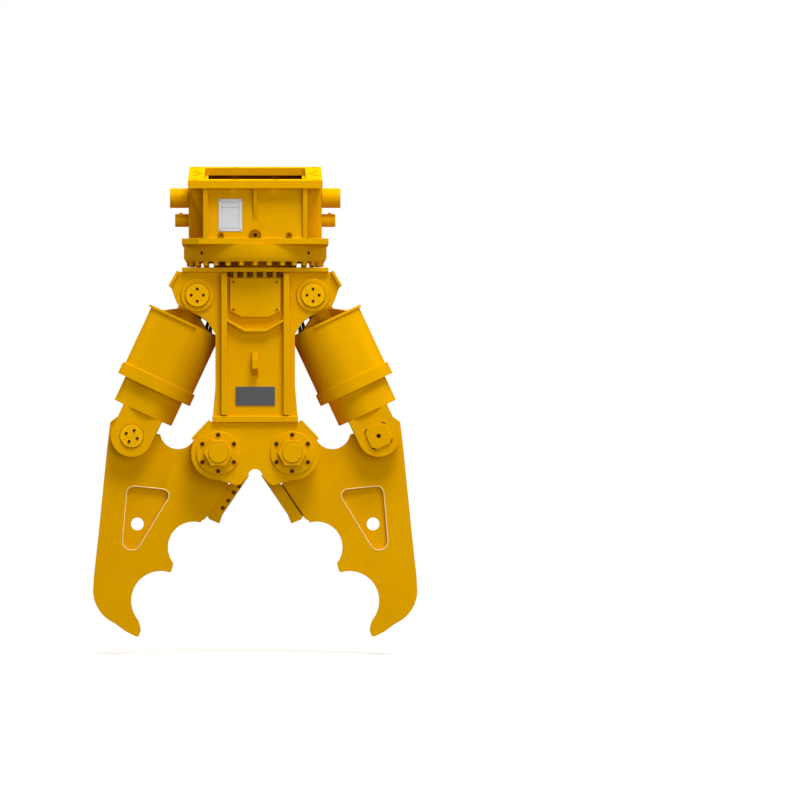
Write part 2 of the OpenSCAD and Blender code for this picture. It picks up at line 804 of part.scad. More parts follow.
// Right half of a body plate, from the turntable plate down; the wing slopes out and back in
wing_top_x = 345;
wing_tip = [385, 69];
column_edge_x = 182;
body_foot_x = 196;
foot_flare_h = 164;
module frame_plates() {
    half = [[wing_top_x, 0], wing_tip, [369, 116], [356, 148], [308, 174], [256, 201], [218, 227],
            [column_edge_x, 285], [column_edge_x, body_h - foot_flare_h]];
    outline = concat([for (p = half) [p[0], body_top - p[1]]], [[body_foot_x, body_foot]]);
    color(paint) front_and_rear() difference() {
        plate_xz(-body_y, -body_y + body_t) polygon(mirrored(outline));
        both_sides() translate([upper_pin_x, 0, upper_pin_z]) rod_y(upper_pin_r, -body_y - past, 0);
    }
}

module column_box() {
    in_y = body_y - body_t;
    color(paint) {
        both_sides() box([column_x - web_t, -in_y, body_foot], [column_x, in_y, body_top]);
        box([-column_edge_x, -in_y, body_foot], [column_edge_x, in_y, body_foot + web_t]);
    }
}

notch_half = 62;
notch_h = 30;
module wing_end_guards() {
    edge = wing_tip - [wing_top_x, 0];
    slope_l = norm(edge);
    color(paint) both_sides() translate([wing_top_x, 0, body_top])
        rotate([0, -atan2(edge[0], edge[1]), 0]) difference() {
            box([0, -guard_y, -slope_l], [guard_t, guard_y, 0]);
            plate_yz(-past, guard_t + past) polygon([[-notch_half, -slope_l - past],
                [-notch_half, -slope_l], [0, -slope_l + notch_h], [notch_half, -slope_l],
                [notch_half, -slope_l - past]]);
        }
}

ledge_gap = 5;
rib_drop = 11;
module column_ribs() {
    top = body_top - rib_drop;
    foot = body_foot + ledge_h + ledge_gap;
    color(paint) front_and_rear() both_sides() plate_yz(rib_x, rib_x + rib_t) polygon([
        [body_y, foot], [body_y, top], [body_y + rib_out_top, top], [body_y + rib_out_foot, foot]]);
}

// V bar below the valve cover, from rib to rib, and the ledge bar at the foot of the column
v_bar_drop = 216;
v_bar_fall = 48;
v_bar_flat = 47;
module face_bars() {
    end_z = body_top - v_bar_drop;
    low_z = end_z - v_bar_fall;
    end_t = v_bar_t / cos(atan2(v_bar_fall, rib_x - v_bar_flat));
    color(paint) front_and_rear() {
        plate_xz(-body_y - v_bar_out, -body_y) polygon([[-rib_x, end_z], [-v_bar_flat, low_z],
            [v_bar_flat, low_z], [rib_x, end_z], [rib_x, end_z - end_t], [v_bar_flat, low_z - v_bar_t],
            [-v_bar_flat, low_z - v_bar_t], [-rib_x, end_z - end_t]]);
        box([-body_foot_x, -body_y - ledge_out, body_foot], [body_foot_x, -body_y, body_foot + ledge_h]);
    }
}

valve_cover_drop = 31;
valve_cover_corner = [53, 26];
module valve_cover_outline(inset) {
    x = valve_cover_x - inset;
    top = body_top - valve_cover_drop - inset;
    foot = body_top - valve_cover_drop - valve_cover_h + inset;
    polygon(mirrored([[x, top], [x, foot + valve_cover_corner[1]], [x - valve_cover_corner[0], foot]]));
}
module valve_covers() {
    face = body_y + valve_cover_out;
    color(paint) front_and_rear() difference() {
        plate_xz(-face, -body_y) valve_cover_outline(0);
        plate_xz(-face + valve_cover_wall, -body_y + past) valve_cover_outline(valve_cover_wall);
    }
}

// Screws in the corners of the valve covers, and round the front covers of the upper pins
frame_screw_inset = 16;
pin_screw_r = 7;
pin_cover_face = body_y + pin_pad_t + pin_cover_t;
module frame_screws() {
    face = body_y + valve_cover_out;
    top = body_top - valve_cover_drop - frame_screw_inset;
    foot = body_top - valve_cover_drop - valve_cover_h + valve_cover_corner[1] + frame_screw_inset / 2;
    color(bare_steel) {
        front_and_rear() both_sides() for (z = [foot, top])
            translate([valve_cover_x - frame_screw_inset, 0, z]) rod_y(cover_screw_r, -face - screw_h, -face);
        both_sides() translate([upper_pin_x, 0, upper_pin_z])
            circle_of_screws() rod_y(pin_screw_r, -pin_cover_face - screw_h, -pin_cover_face);
    }
}
module circle_of_screws() {
    for (a = [0 : 90 : 270]) rotate([0, a, 0]) translate([pin_screw_circle_r, 0, 0]) children();
}

lug_share = 0.53;
lug_drop = lug_share * body_h;
lug_edge_h = 45;
lug_hole_z = body_top - lug_drop - lug_h / 2;
lug_hole_share = 0.6;
lug_hole_y = body_y + lug_hole_share * lug_out;
module lifting_lugs() {
    mid = lug_hole_z;
    color(paint) front_and_rear() difference() {
        plate_yz(-lug_t / 2, lug_t / 2) polygon([[body_y, mid - lug_h / 2], [body_y, mid + lug_h / 2],
            [body_y + lug_out, mid + lug_edge_h / 2], [body_y + lug_out, mid - lug_edge_h / 2]]);
        translate([0, lug_hole_y, mid]) rod_x(lug_hole_d / 2, -lug_t, lug_t);
    }
}

badge_rise = 75;
module badge_plates() {
    foot = body_foot + badge_rise;
    color(badge_grey) front_and_rear()
        box([-badge_x, -body_y - badge_t, foot], [badge_x, -body_y, foot + badge_h]);
}

// Jaw pivots: the pivot plates and the pins that the jaws turn on

pivot_face = pivot_plate_in + pivot_plate_t;
module at_pivot() {
    translate([pivot_x, 0, pivot_z]) children();
}
// Shoulder line of the pivot plate, square to this direction from the pivot
shoulder_angle = 43.4;
shoulder_up = 79;
shoulder_down = 36;
shoulder_way = [cos(shoulder_angle), sin(shoulder_angle)];
function shoulder(along) = [pivot_x, pivot_z] + lobe_r * shoulder_way
    + along * [-shoulder_way[1], shoulder_way[0]];
notch_mid_drop = 106;
pivot_notch_r = 32;
// Foot of a pivot plate between its lobe and the notch, inwards from the pivot
plate_foot = [[88, 149], [106, 140]];
module pivot_plate_outline() {
    notch_z = pivot_z - notch_mid_drop;
    top = shoulder(shoulder_up);
    difference() {
        union() {
            polygon(mirrored(concat([[top[0], body_foot], top, shoulder(-shoulder_down),
                [pivot_x + lobe_r, pivot_z], [pivot_x, pivot_z], [pivot_x, pivot_z - lobe_r]],
                [for (p = plate_foot) [pivot_x, pivot_z] - p], [[pivot_notch_r, notch_z]])));
            both_sides() translate([pivot_x, pivot_z]) circle(lobe_r);
        }
        translate([0, notch_z]) circle(pivot_notch_r);
    }
}
module pivot_plates() {
    color(paint) front_and_rear() difference() {
        plate_xz(-pivot_face, -pivot_plate_in) pivot_plate_outline();
        both_sides() at_pivot() rod_y(pivot_pin_r, -pivot_face - past, 0);
    }
}

module shoulder_guards() {
    color(paint) both_sides() at_pivot() rotate([0, -shoulder_angle, 0]) difference() {
        box([lobe_r, -pivot_face, -shoulder_down], [lobe_r + shoulder_t, pivot_face, shoulder_up]);
        box([0, -shoulder_arch, -shoulder_down - past], [2 * lobe_r, shoulder_arch, 0]);
        rod_x(shoulder_arch, 0, 2 * lobe_r);
    }
}

pin_dimple_r = 8;
pin_dimple = 8;
thread_past = 7;
module jaw_pivot_pins() {
    head_face = pivot_face + pivot_head_t;
    thread_end = pivot_face + pivot_flange_t + pivot_nut_h + thread_past;
    color(bare_steel) both_sides() at_pivot() difference() {
        union() {
            rod_y(pivot_pin_r, -pivot_face, pivot_face);
            rod_y(pivot_head_r, pivot_face, head_face);
            rod_y(pivot_thread_r, -thread_end, -pivot_face);
        }
        rod_y(pin_dimple_r, head_face - pin_dimple, head_face + past);
    }
}
module washer(hole_r, r, from, to) {
    difference() {
        rod_y(r, from, to);
        rod_y(hole_r, from - past, to + past);
    }
}
module pivot_flanges() {
    color(paint) both_sides() at_pivot()
        washer(pivot_thread_r, pivot_flange_r, -pivot_face - pivot_flange_t, -pivot_face);
}
module pivot_bolts() {
    face = pivot_face + pivot_flange_t;
    color(bare_steel) both_sides() at_pivot() for (a = [30 : 60 : 330])
        rotate([0, a, 0]) translate([pivot_bolt_circle_r, 0, 0]) rod_y(pivot_bolt_r, -face - pivot_bolt_r, -face);
}
module pivot_nuts() {
    face = pivot_face + pivot_flange_t;
    color(bare_steel) both_sides() at_pivot() difference() {
        rod_y(pivot_nut_af / 2 / cos(30), -face - pivot_nut_h, -face, 6);
        rod_y(pivot_thread_r, -face - pivot_nut_h - past, past - face);
    }
}

module at_upper_pin() {
    translate([upper_pin_x, 0, upper_pin_z]) children();
}
head_notch = 12;
module upper_pins() {
    head_face = body_y + rear_head_t;
    color(paint) both_sides() at_upper_pin() difference() {
        union() {
            rod_y(upper_pin_r, -body_y - pin_pad_t, body_y);
            rod_y(rear_head_r, body_y, head_face);
        }
        for (a = [45 : 90 : 315]) rotate([0, a, 0])
            box([rear_head_r - head_notch, head_face - head_notch, -head_notch / 2],
                [rear_head_r + past, head_face + past, head_notch / 2]);
    }
}
module upper_pin_covers() {
    pad_face = body_y + pin_pad_t;
    color(paint) both_sides() at_upper_pin() {
        washer(upper_pin_r, pin_pad_r, -pad_face, -body_y);
        rod_y(pin_cover_r, -pin_cover_face, -pad_face - seat);
    }
}

// Jaws, drawn as the right one, from its pivot

// Corners of the jaw, from the notch beside the hub round the eye, down the outer edge to the tip,
// and back up along the two bites and the blade's shoulder
jaw_top = [[109, 61], [281, 86], [eye_out, eye_up + eye_r - past], [466, 164], [497, 141], [511, 26], [522, -80],
           [551, -375], [572, -565]];
heel = [410, -632];
heel_turn = 66;
heel_arc = [for (a = [0 : -3 : -heel_turn]) heel + heel_r * [cos(a), sin(a)]];
jaw_tip = [[425, -822], [382, -844], [367, -846], [358, -819], [361, -798], [380, -740]];
teeth = [[221, -548], [216, -544], [209, -515], [205, -490], [76, -312], [62, -305], [55, -296]];
lower_bite = [264, -682];
upper_bite = [114, -436];
notch_mid = [186, 100];
shoulder_foot = [51, -292];
shoulder_head = [-46, -147];
band = [shoulder_head, shoulder_foot, [42, -307], [-4, -326], [-19, -286], [-143, -103]];
pocket = rounded([[207, -172, 30], [419, -150, 33], [456, -582, 42]]);
pocket_hole = [373, -328];
blade_bolts_at = [[-95, -154], [-70, -183], [-45, -221], [-20, -255]];
blade_face = -blade_room;
tongue_in = blade_face - blade_t;
bush_r = pivot_pin_r + play + bush_wall;
hub_y = pivot_plate_in - clear;
groove_w = 7;
groove_in = 2;
groove_depth = 5;
bolt_sink = 8;
bolt_cover = 3;
bolt_foot = -jaw_t / 2 + bolt_cover;
tongue_root = [40, -180];
module jaw_outline() {
    difference() {
        union() {
            polygon(concat(jaw_top, heel_arc, jaw_tip, teeth, [shoulder_foot, shoulder_head, [0, 0]]));
            circle(hub_r);
            translate([eye_out, eye_up]) circle(eye_r);
        }
        translate(lower_bite) circle(lower_bite_r);
        translate(upper_bite) circle(upper_bite_r);
        translate(notch_mid) circle(notch_r);
    }
}
module jaw() {
    half = jaw_t / 2;
    across = unit(shoulder_foot - shoulder_head);
    outward = [-across[1], across[0]];
    groove = groove_w * outward;
    head = shoulder_head - past * across - groove_in * outward;
    foot = shoulder_foot + past * across - groove_in * outward;
    color(paint) at_pivot() difference() {
        union() {
            plate_xz(-half, half) jaw_outline();
            plate_xz(-half, tongue_in) polygon(concat([tongue_root], [for (i = [1 : 5]) band[i]], [band[0]]));
            rod_y(hub_r, -hub_y, hub_y);
            translate([eye_out, 0, eye_up]) rod_y(eye_pad_r, -eye_pad_y, eye_pad_y);
        }
        rod_y(bush_r, -hub_y - past, hub_y + past);
        translate([eye_out, 0, eye_up]) rod_y(lower_pin_r + eye_room, -eye_pad_y - past, eye_pad_y + past);
        front_and_rear() plate_xz(pocket_web_t / 2, half + past) polygon(pocket);
        translate([pocket_hole[0], 0, pocket_hole[1]]) rod_y(pocket_hole_d / 2, -half, half);
        for (p = blade_bolts_at) translate([p[0], 0, p[1]]) rod_y(blade_shank_r, bolt_foot, half);
        plate_xz(-half - past, -half + groove_depth) polygon([head, foot, foot + groove, head + groove]);
    }
}
module jaw_bush() {
    color(bare_steel) at_pivot() washer(pivot_pin_r + play, bush_r, -hub_y, hub_y);
}
module blade() {
    color(bare_steel) at_pivot() difference() {
        plate_xz(tongue_in, blade_face) polygon(band);
        for (p = blade_bolts_at) translate([p[0], 0, p[1]]) {
            rod_y(blade_bolt_r, blade_face - bolt_sink, blade_face + past);
            rod_y(blade_shank_r, tongue_in - past, blade_face);
        }
    }
}
module blade_bolts() {
    color(dark_steel) at_pivot() for (p = blade_bolts_at) translate([p[0], 0, p[1]]) {
        rod_y(blade_bolt_r, blade_face - bolt_sink, blade_face - clear);
        rod_y(blade_shank_r, bolt_foot, blade_face - bolt_sink);
    }
}

// Cylinders, drawn as the right one; along Z from the upper pin down to the lower pin

module in_cylinder() {
    at_upper_pin() rotate([0, 180 - cylinder_lean, 0]) children();
}
barrel_floor_t = 30;
barrel_end = cylinder_l - barrel_foot;
rod_foot = barrel_end - barrel_floor_t - past;
module rod() {
    color(bare_steel) in_cylinder() difference() {
        union() {
            rod_y(rod_eye_r, -body_y + body_t + clear, body_y - body_t - clear);
            cylinder(r = rod_r, h = rod_foot);
        }
        rod_y(upper_pin_r + play, -body_y, body_y);
    }
}
module piston() {
    color(dark_steel) in_cylinder()
        ring(rod_r, barrel_r - barrel_wall - play, rod_foot - piston_h, rod_foot);
}
rib_rise = 44;
weld_in = 1;
lip_h = 11;
module guard_sleeve() {
    in_r = sleeve_r - sleeve_wall;
    lip_r = sleeve_r + collar_out;
    guide_r = barrel_r + clear;
    step = sleeve_r - guide_r;
    color(paint) in_cylinder() difference() {
        union() {
            rotate_extrude() polygon([[in_r, sleeve_top], [sleeve_r, sleeve_top],
                [sleeve_r, sleeve_foot - collar_h], [lip_r, sleeve_foot - collar_h], [lip_r, sleeve_foot],
                [guide_r, sleeve_foot], [guide_r, sleeve_foot - step], [in_r, sleeve_foot - 2 * step]]);
            difference() {
                ring(in_r, lip_r, sleeve_top, sleeve_top + lip_h);
                box([rod_r, -lip_r, sleeve_top - past], [2 * lip_r, lip_r, sleeve_top + lip_h + past]);
            }
            for (a = [45 : 90 : 315]) rotate([0, 0, a]) translate([0, sleeve_rib_t / 2, 0])
                rotate([90, 0, 0]) linear_extrude(sleeve_rib_t) polygon([
                    [rod_r / 2, sleeve_top - rib_rise], [rod_r, sleeve_top - rib_rise],
                    [in_r + weld_in, sleeve_top], [in_r + weld_in, barrel_top - weld_in],
                    [rod_r / 2, barrel_top - weld_in]]);
        }
        cylinder(r = rod_r, h = sleeve_foot);
    }
}
module barrel() {
    bore_r = barrel_r - barrel_wall;
    gland_r = rod_r + play;
    color(paint) in_cylinder() rotate_extrude() polygon([[gland_r, barrel_top], [barrel_r, barrel_top],
        [barrel_r, barrel_end], [bore_r, barrel_end], [bore_r, barrel_top + gland_l],
        [gland_r, barrel_top + gland_l]]);
}
module clevis() {
    color(paint) in_cylinder() difference() {
        union() {
            translate([0, 0, barrel_end - barrel_floor_t])
                cylinder(r = barrel_r - barrel_wall, h = barrel_floor_t);
            front_and_rear() {
                box([-clevis_x, clevis_slot, barrel_end], [clevis_x, clevis_y, cylinder_l]);
                translate([0, 0, cylinder_l]) rod_y(clevis_x, clevis_slot, clevis_y);
            }
        }
        translate([0, 0, cylinder_l]) rod_y(lower_pin_r, -clevis_y - past, clevis_y + past);
    }
}
// The square head's corners are turned off at this share of its width
keeper_round = 0.58;
module lower_pin() {
    cover_face = clevis_y + lower_cover_t;
    color(paint) in_cylinder() translate([0, 0, cylinder_l]) {
        rod_y(lower_pin_r, -clevis_y, clevis_y - seat);
        rod_y(lower_cover_r, clevis_y, cover_face);
        circle_of_screws() rod_y(pin_screw_r, cover_face + seat, cover_face + screw_h);
        difference() {
            intersection() {
                rod_y(keeper_w * keeper_round, -clevis_y - keeper_t, -clevis_y);
                box([-keeper_w / 2, -2 * clevis_y, -keeper_w / 2], [keeper_w / 2, 0, keeper_w / 2]);
            }
            rod_y(pin_dimple_r, -clevis_y - keeper_t - past, -clevis_y - keeper_t + pin_dimple);
        }
    }
}

mounting_flange();
head_base_plate();
head_side_walls();
head_front_wall();
head_rear_plate();
head_gussets();
port_blocks();
swivel_ports();
bleed_plugs();
head_cover_plate();
name_plates();
head_screws();
foot_lugs();
swivel_housing();
slew_ring_outer();
slew_ring_bolts();
slew_motor();
swivel_stator();
slew_pinion();
turntable_plate();
slew_ring_gear();
swivel_rotor();
turntable_bolts();
frame_plates();
column_box();
wing_end_guards();
column_ribs();
face_bars();
valve_covers();
frame_screws();
lifting_lugs();
badge_plates();
pivot_plates();
shoulder_guards();
jaw_pivot_pins();
pivot_flanges();
pivot_bolts();
pivot_nuts();
upper_pins();
upper_pin_covers();
as_left() jaw();  // left_jaw
as_left() jaw_bush();  // left_jaw_bush
as_left() blade();  // left_blade
as_left() blade_bolts();  // left_blade_bolts
jaw();  // right_jaw
jaw_bush();  // right_jaw_bush
blade();  // right_blade
blade_bolts();  // right_blade_bolts
as_left() rod();  // left_rod
as_left() piston();  // left_piston
as_left() guard_sleeve();  // left_guard_sleeve
as_left() barrel();  // left_barrel
as_left() clevis();  // left_clevis
as_left() lower_pin();  // left_lower_pin
rod();  // right_rod
piston();  // right_piston
guard_sleeve();  // right_guard_sleeve
barrel();  // right_barrel
clevis();  // right_clevis
lower_pin();  // right_lower_pin
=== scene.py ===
import math
import bmesh
import bpy
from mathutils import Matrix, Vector


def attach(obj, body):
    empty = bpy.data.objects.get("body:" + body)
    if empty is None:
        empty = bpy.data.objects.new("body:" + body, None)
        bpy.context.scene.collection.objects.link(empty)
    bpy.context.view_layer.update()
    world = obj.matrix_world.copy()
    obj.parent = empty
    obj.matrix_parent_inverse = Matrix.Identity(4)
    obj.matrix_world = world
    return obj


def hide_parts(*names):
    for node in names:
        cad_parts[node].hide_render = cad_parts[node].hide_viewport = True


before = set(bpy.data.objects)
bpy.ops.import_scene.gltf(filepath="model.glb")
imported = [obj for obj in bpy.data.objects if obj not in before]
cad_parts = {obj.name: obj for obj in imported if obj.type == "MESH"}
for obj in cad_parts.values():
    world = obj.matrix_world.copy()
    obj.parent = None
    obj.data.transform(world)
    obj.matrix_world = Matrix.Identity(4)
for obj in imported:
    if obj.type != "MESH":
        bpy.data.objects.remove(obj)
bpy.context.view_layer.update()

mm = 0.001


# Camera: a long way off, level and square to the front, as in a catalogue picture.
# The tool hangs in the left part of the picture, so the view is shifted to its side.
picture_width = 3.68
camera_distance = 30.0
camera_height = -1.04
camera_shift = 0.181
camera_sight = 120.0
sensor_width = 36.0
level_view = math.radians(90)
camera_data = bpy.data.cameras.new("camera")
camera_data.sensor_width = sensor_width
camera_data.lens = sensor_width * camera_distance / picture_width
camera_data.shift_x = camera_shift
camera_data.clip_end = camera_sight
camera = bpy.data.objects.new("camera", camera_data)
camera.location = (0.0, -camera_distance, camera_height)
camera.rotation_euler = (level_view, 0.0, 0.0)
bpy.context.scene.collection.objects.link(camera)
bpy.context.scene.camera = camera
bpy.context.scene.view_settings.view_transform = "Standard"


# Studio: a pale floor under the hanging tool, an even white surround, one soft lamp overhead, and
# soft lamps on all four sides, so that the shapes read from any side.
def written(red, green, blue):
    """A colour as it is written for the screen, 0 to 255, as the light that the shaders count in."""
    full = 255
    low_end = 0.04045
    low_slope = 12.92
    lift = 0.055
    steepness = 2.4
    light = []
    for part in (red / full, green / full, blue / full):
        light.append(part / low_slope if part <= low_end else ((part + lift) / (1 + lift)) ** steepness)
    return (*light, 1.0)


def new_nodes(owner):
    owner.use_nodes = True
    owner.node_tree.nodes.clear()
    return owner.node_tree.nodes, owner.node_tree.links


floor_height = -2.215
floor_reach = 14.0
floor_sides = 96
floor_colour = written(244, 244, 242)
floor_patch = written(238, 238, 236)
bm = bmesh.new()
bmesh.ops.create_circle(bm, cap_ends=True, radius=floor_reach, segments=floor_sides)
bmesh.ops.translate(bm, verts=bm.verts, vec=(0.0, 0.0, floor_height))
floor_mesh = bpy.data.meshes.new("floor")
bm.to_mesh(floor_mesh)
bm.free()
floor = bpy.data.objects.new("floor", floor_mesh)
bpy.context.scene.collection.objects.link(floor)


def wire(links, wires):
    """Joins nodes; a wire is a node and its output, then a node and its input."""
    for giver, output, taker, entry in wires:
        links.new(giver.outputs[output], taker.inputs[entry])


def seen_directly(nodes, links):
    """1 for what the camera sees, straight, in a shine or through glass."""
    rays = nodes.new("ShaderNodeLightPath")
    shine = nodes.new("ShaderNodeMath")
    glass = nodes.new("ShaderNodeMath")
    for part in (shine, glass):
        part.operation = "MAXIMUM"
    wire(links, (
        (rays, "Is Camera Ray", shine, 0),
        (rays, "Is Glossy Ray", shine, 1),
        (shine, "Value", glass, 0),
        (rays, "Is Transmission Ray", glass, 1),
    ))
    return glass.outputs["Value"]


# The floor keeps the shadow round the tool, and fades into the white surround further out. It throws
# little light back up, so that the undersides stay dark.
shadow_reach = 1.6
fade_reach = 3.4
patch_scale = 3.0
floor_bounce = written(120, 120, 120)
floor_paint = bpy.data.materials.new("studio_floor")
nodes, links = new_nodes(floor_paint)
place = nodes.new("ShaderNodeTexCoord")
patches = nodes.new("ShaderNodeTexNoise")
patches.inputs["Scale"].default_value = patch_scale
tone = nodes.new("ShaderNodeMix")
tone.data_type = "RGBA"
tone.inputs["A"].default_value = floor_colour
tone.inputs["B"].default_value = floor_patch
bounce = nodes.new("ShaderNodeMix")
bounce.data_type = "RGBA"
bounce.inputs["A"].default_value = floor_bounce
seen = seen_directly(nodes, links)
matt = nodes.new("ShaderNodeBsdfDiffuse")
white = nodes.new("ShaderNodeEmission")
flat_place = nodes.new("ShaderNodeVectorMath")
flat_place.operation = "MULTIPLY"
flat_place.inputs[1].default_value = (1.0, 1.0, 0.0)
from_middle = nodes.new("ShaderNodeVectorMath")
from_middle.operation = "LENGTH"
fade = nodes.new("ShaderNodeMapRange")
fade.interpolation_type = "SMOOTHSTEP"
fade.inputs["From Min"].default_value = shadow_reach
fade.inputs["From Max"].default_value = fade_reach
both = nodes.new("ShaderNodeMath")
both.operation = "MULTIPLY"
choose = nodes.new("ShaderNodeMixShader")
out = nodes.new("ShaderNodeOutputMaterial")
links.new(seen, bounce.inputs["Factor"])
links.new(seen, both.inputs[1])
wire(links, (
    (place, "Object", patches, "Vector"),
    (patches, "Fac", tone, "Factor"),
    (tone, "Result", bounce, "B"),
    (bounce, "Result", matt, "Color"),
    (place, "Object", flat_place, 0),
    (flat_place, "Vector", from_middle, 0),
    (from_middle, "Value", fade, "Value"),
    (fade, "Result", both, 0),
    (both, "Value", choose, "Fac"),
    (matt, "BSDF", choose, 1),
    (white, "Emission", choose, 2),
    (choose, "Shader", out, "Surface"),
))
floor_mesh.materials.append(floor_paint)

room_light = 0.2
world = bpy.data.worlds.new("studio")
bpy.context.scene.world = world
nodes, links = new_nodes(world)
dim = nodes.new("ShaderNodeBackground")
dim.inputs["Strength"].default_value = room_light
white = nodes.new("ShaderNodeBackground")
white.inputs["Strength"].default_value = 1.0
for sky in (dim, white):
    sky.inputs["Color"].default_value = (1.0, 1.0, 1.0, 1.0)
choose = nodes.new("ShaderNodeMixShader")
out = nodes.new("ShaderNodeOutputWorld")
links.new(seen_directly(nodes, links), choose.inputs["Fac"])
wire(links, (
    (dim, "Background", choose, 1),
    (white, "Background", choose, 2),
    (choose, "Shader", out, "Surface"),
))

tool_middle = Vector((0.0, 0.0, camera_height))


def soft_lamp(name, round_tool, height, distance, size, power):
    """A square lamp that faces the tool, so many degrees round it and so many above the horizon."""
    level = math.cos(math.radians(height))
    way = Vector((level * math.cos(math.radians(round_tool)), level * math.sin(math.radians(round_tool)),
                  math.sin(math.radians(height))))
    lamp_data = bpy.data.lights.new(name, "AREA")
    lamp_data.energy = power
    lamp_data.size = size
    lamp = bpy.data.objects.new(name, lamp_data)
    lamp.location = tool_middle + distance * way
    lamp.rotation_euler = (-way).to_track_quat("-Z", "Y").to_euler()
    lamp.visible_camera = False
    bpy.context.scene.collection.objects.link(lamp)


soft_lamp("front", round_tool=-73, height=56, distance=14.0, size=5.5, power=1390.0)
soft_lamp("low front", round_tool=-76, height=4, distance=9.0, size=4.5, power=230.0)
soft_lamp("rear", round_tool=90, height=42, distance=12.0, size=5.5, power=900.0)
soft_lamp("left", round_tool=160, height=32, distance=9.0, size=4.5, power=210.0)
soft_lamp("right", round_tool=20, height=32, distance=9.0, size=4.5, power=210.0)
soft_lamp("overhead", round_tool=-90, height=86, distance=7.0, size=4.5, power=210.0)


# Mounting flange: a thick plate, tilted to suit the arm, with a window for the hoses. It is cut by
# torch, drilled, and its edges are ground round before the whole head is painted in satin yellow.
def finish(name, colour, deep, dust, roughness, metallic=0.1, specular=0.0, tint=None, grain=700.0,
           depth=0.25 * mm, chips=None):
    """A surface finish with broad shade, fine dust, uneven gloss and a fine grain. Where chips is a
    colour, the finish is also worn through to it in small spots."""
    shade_scale = 1.9
    shade_detail = 3.0
    shade_band = (0.35, 0.7)
    dust_scale = 13.0
    dust_detail = 6.0
    dust_band = (0.48, 0.78)
    most_dust = 0.3
    gloss_band = (0.3, 0.7)
    smoother = 0.05
    rougher = 0.08
    chip_scale = 85.0
    chip_detail = 4.0
    chip_band = (0.7, 0.72)
    grain_detail = 3.0
    grain_strength = 0.35
    material = bpy.data.materials.new(name)
    nodes, links = new_nodes(material)
    place = nodes.new("ShaderNodeTexCoord")

    def noise(scale, detail):
        pattern = nodes.new("ShaderNodeTexNoise")
        pattern.inputs["Scale"].default_value = scale
        pattern.inputs["Detail"].default_value = detail
        links.new(place.outputs["Object"], pattern.inputs["Vector"])
        return pattern.outputs["Fac"]

    def between(value, band, to_low=0.0, to_high=1.0):
        spread = nodes.new("ShaderNodeMapRange")
        for socket, number in zip(("From Min", "From Max", "To Min", "To Max"), (*band, to_low, to_high)):
            spread.inputs[socket].default_value = number
        links.new(value, spread.inputs["Value"])
        return spread.outputs["Result"]

    def mixed(share, first, second):
        mix = nodes.new("ShaderNodeMix")
        mix.data_type = "RGBA"
        links.new(share, mix.inputs["Factor"])
        for socket, side in (("A", first), ("B", second)):
            if isinstance(side, tuple):
                mix.inputs[socket].default_value = side
            else:
                links.new(side, mix.inputs[socket])
        return mix.outputs["Result"]

    shader = nodes.new("ShaderNodeBsdfPrincipled")
    out = nodes.new("ShaderNodeOutputMaterial")
    dusty = noise(dust_scale, dust_detail)
    shade = mixed(between(noise(shade_scale, shade_detail), shade_band), colour, deep)
    surface = mixed(between(dusty, dust_band, to_high=most_dust), shade, dust)
    if chips:
        surface = mixed(between(noise(chip_scale, chip_detail), chip_band), surface, chips)
    links.new(surface, shader.inputs["Base Color"])
    uneven = between(dusty, gloss_band, roughness - smoother, roughness + rougher)
    links.new(uneven, shader.inputs["Roughness"])
    bump = nodes.new("ShaderNodeBump")
    bump.inputs["Strength"].default_value = grain_strength
    bump.inputs["Distance"].default_value = depth
    links.new(noise(grain, grain_detail), bump.inputs["Height"])
    links.new(bump.outputs["Normal"], shader.inputs["Normal"])
    shader.inputs["Metallic"].default_value = metallic
    shader.inputs["Specular IOR Level"].default_value = specular
    if tint:
        shader.inputs["Specular Tint"].default_value = tint
    links.new(shader.outputs["BSDF"], out.inputs["Surface"])
    return material


yellow_sheen = written(255, 205, 70)
yellow = finish("yellow_paint", colour=written(226, 165, 0), deep=written(219, 157, 0),
                dust=written(214, 160, 24), roughness=0.5, tint=yellow_sheen)
# The ground edges are a lighter yellow, a painted highlight, with small chips of wear.
edge_highlight_and_wear = finish("yellow_paint_highlighted_worn_edges", colour=written(240, 182, 6), deep=written(232, 172, 2),
                   dust=written(224, 170, 40), roughness=0.38, tint=yellow_sheen,
                   chips=written(150, 112, 40))


def plain(piece):
    """Bakes a piece's modifiers into its mesh, so that it is a plain mesh from here on."""
    whole = piece.evaluated_get(bpy.context.evaluated_depsgraph_get())
    mesh = bpy.data.meshes.new_from_object(whole)
    mesh.name = piece.name
    piece.modifiers.clear()
    piece.data = mesh
    return piece


def new_piece(name, bm, finishes):
    mesh = bpy.data.meshes.new(name)
    bm.to_mesh(mesh)
    bm.free()
    for one in finishes:
        mesh.materials.append(one)
    piece = bpy.data.objects.new(name, mesh)
    bpy.context.scene.collection.objects.link(piece)
    return piece


def mount(piece, body, slot, *nodes):
    """Hangs a finished piece on its body, in place of the solids that it dresses."""
    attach(piece, body)
    if nodes:
        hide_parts(*nodes)
    return piece


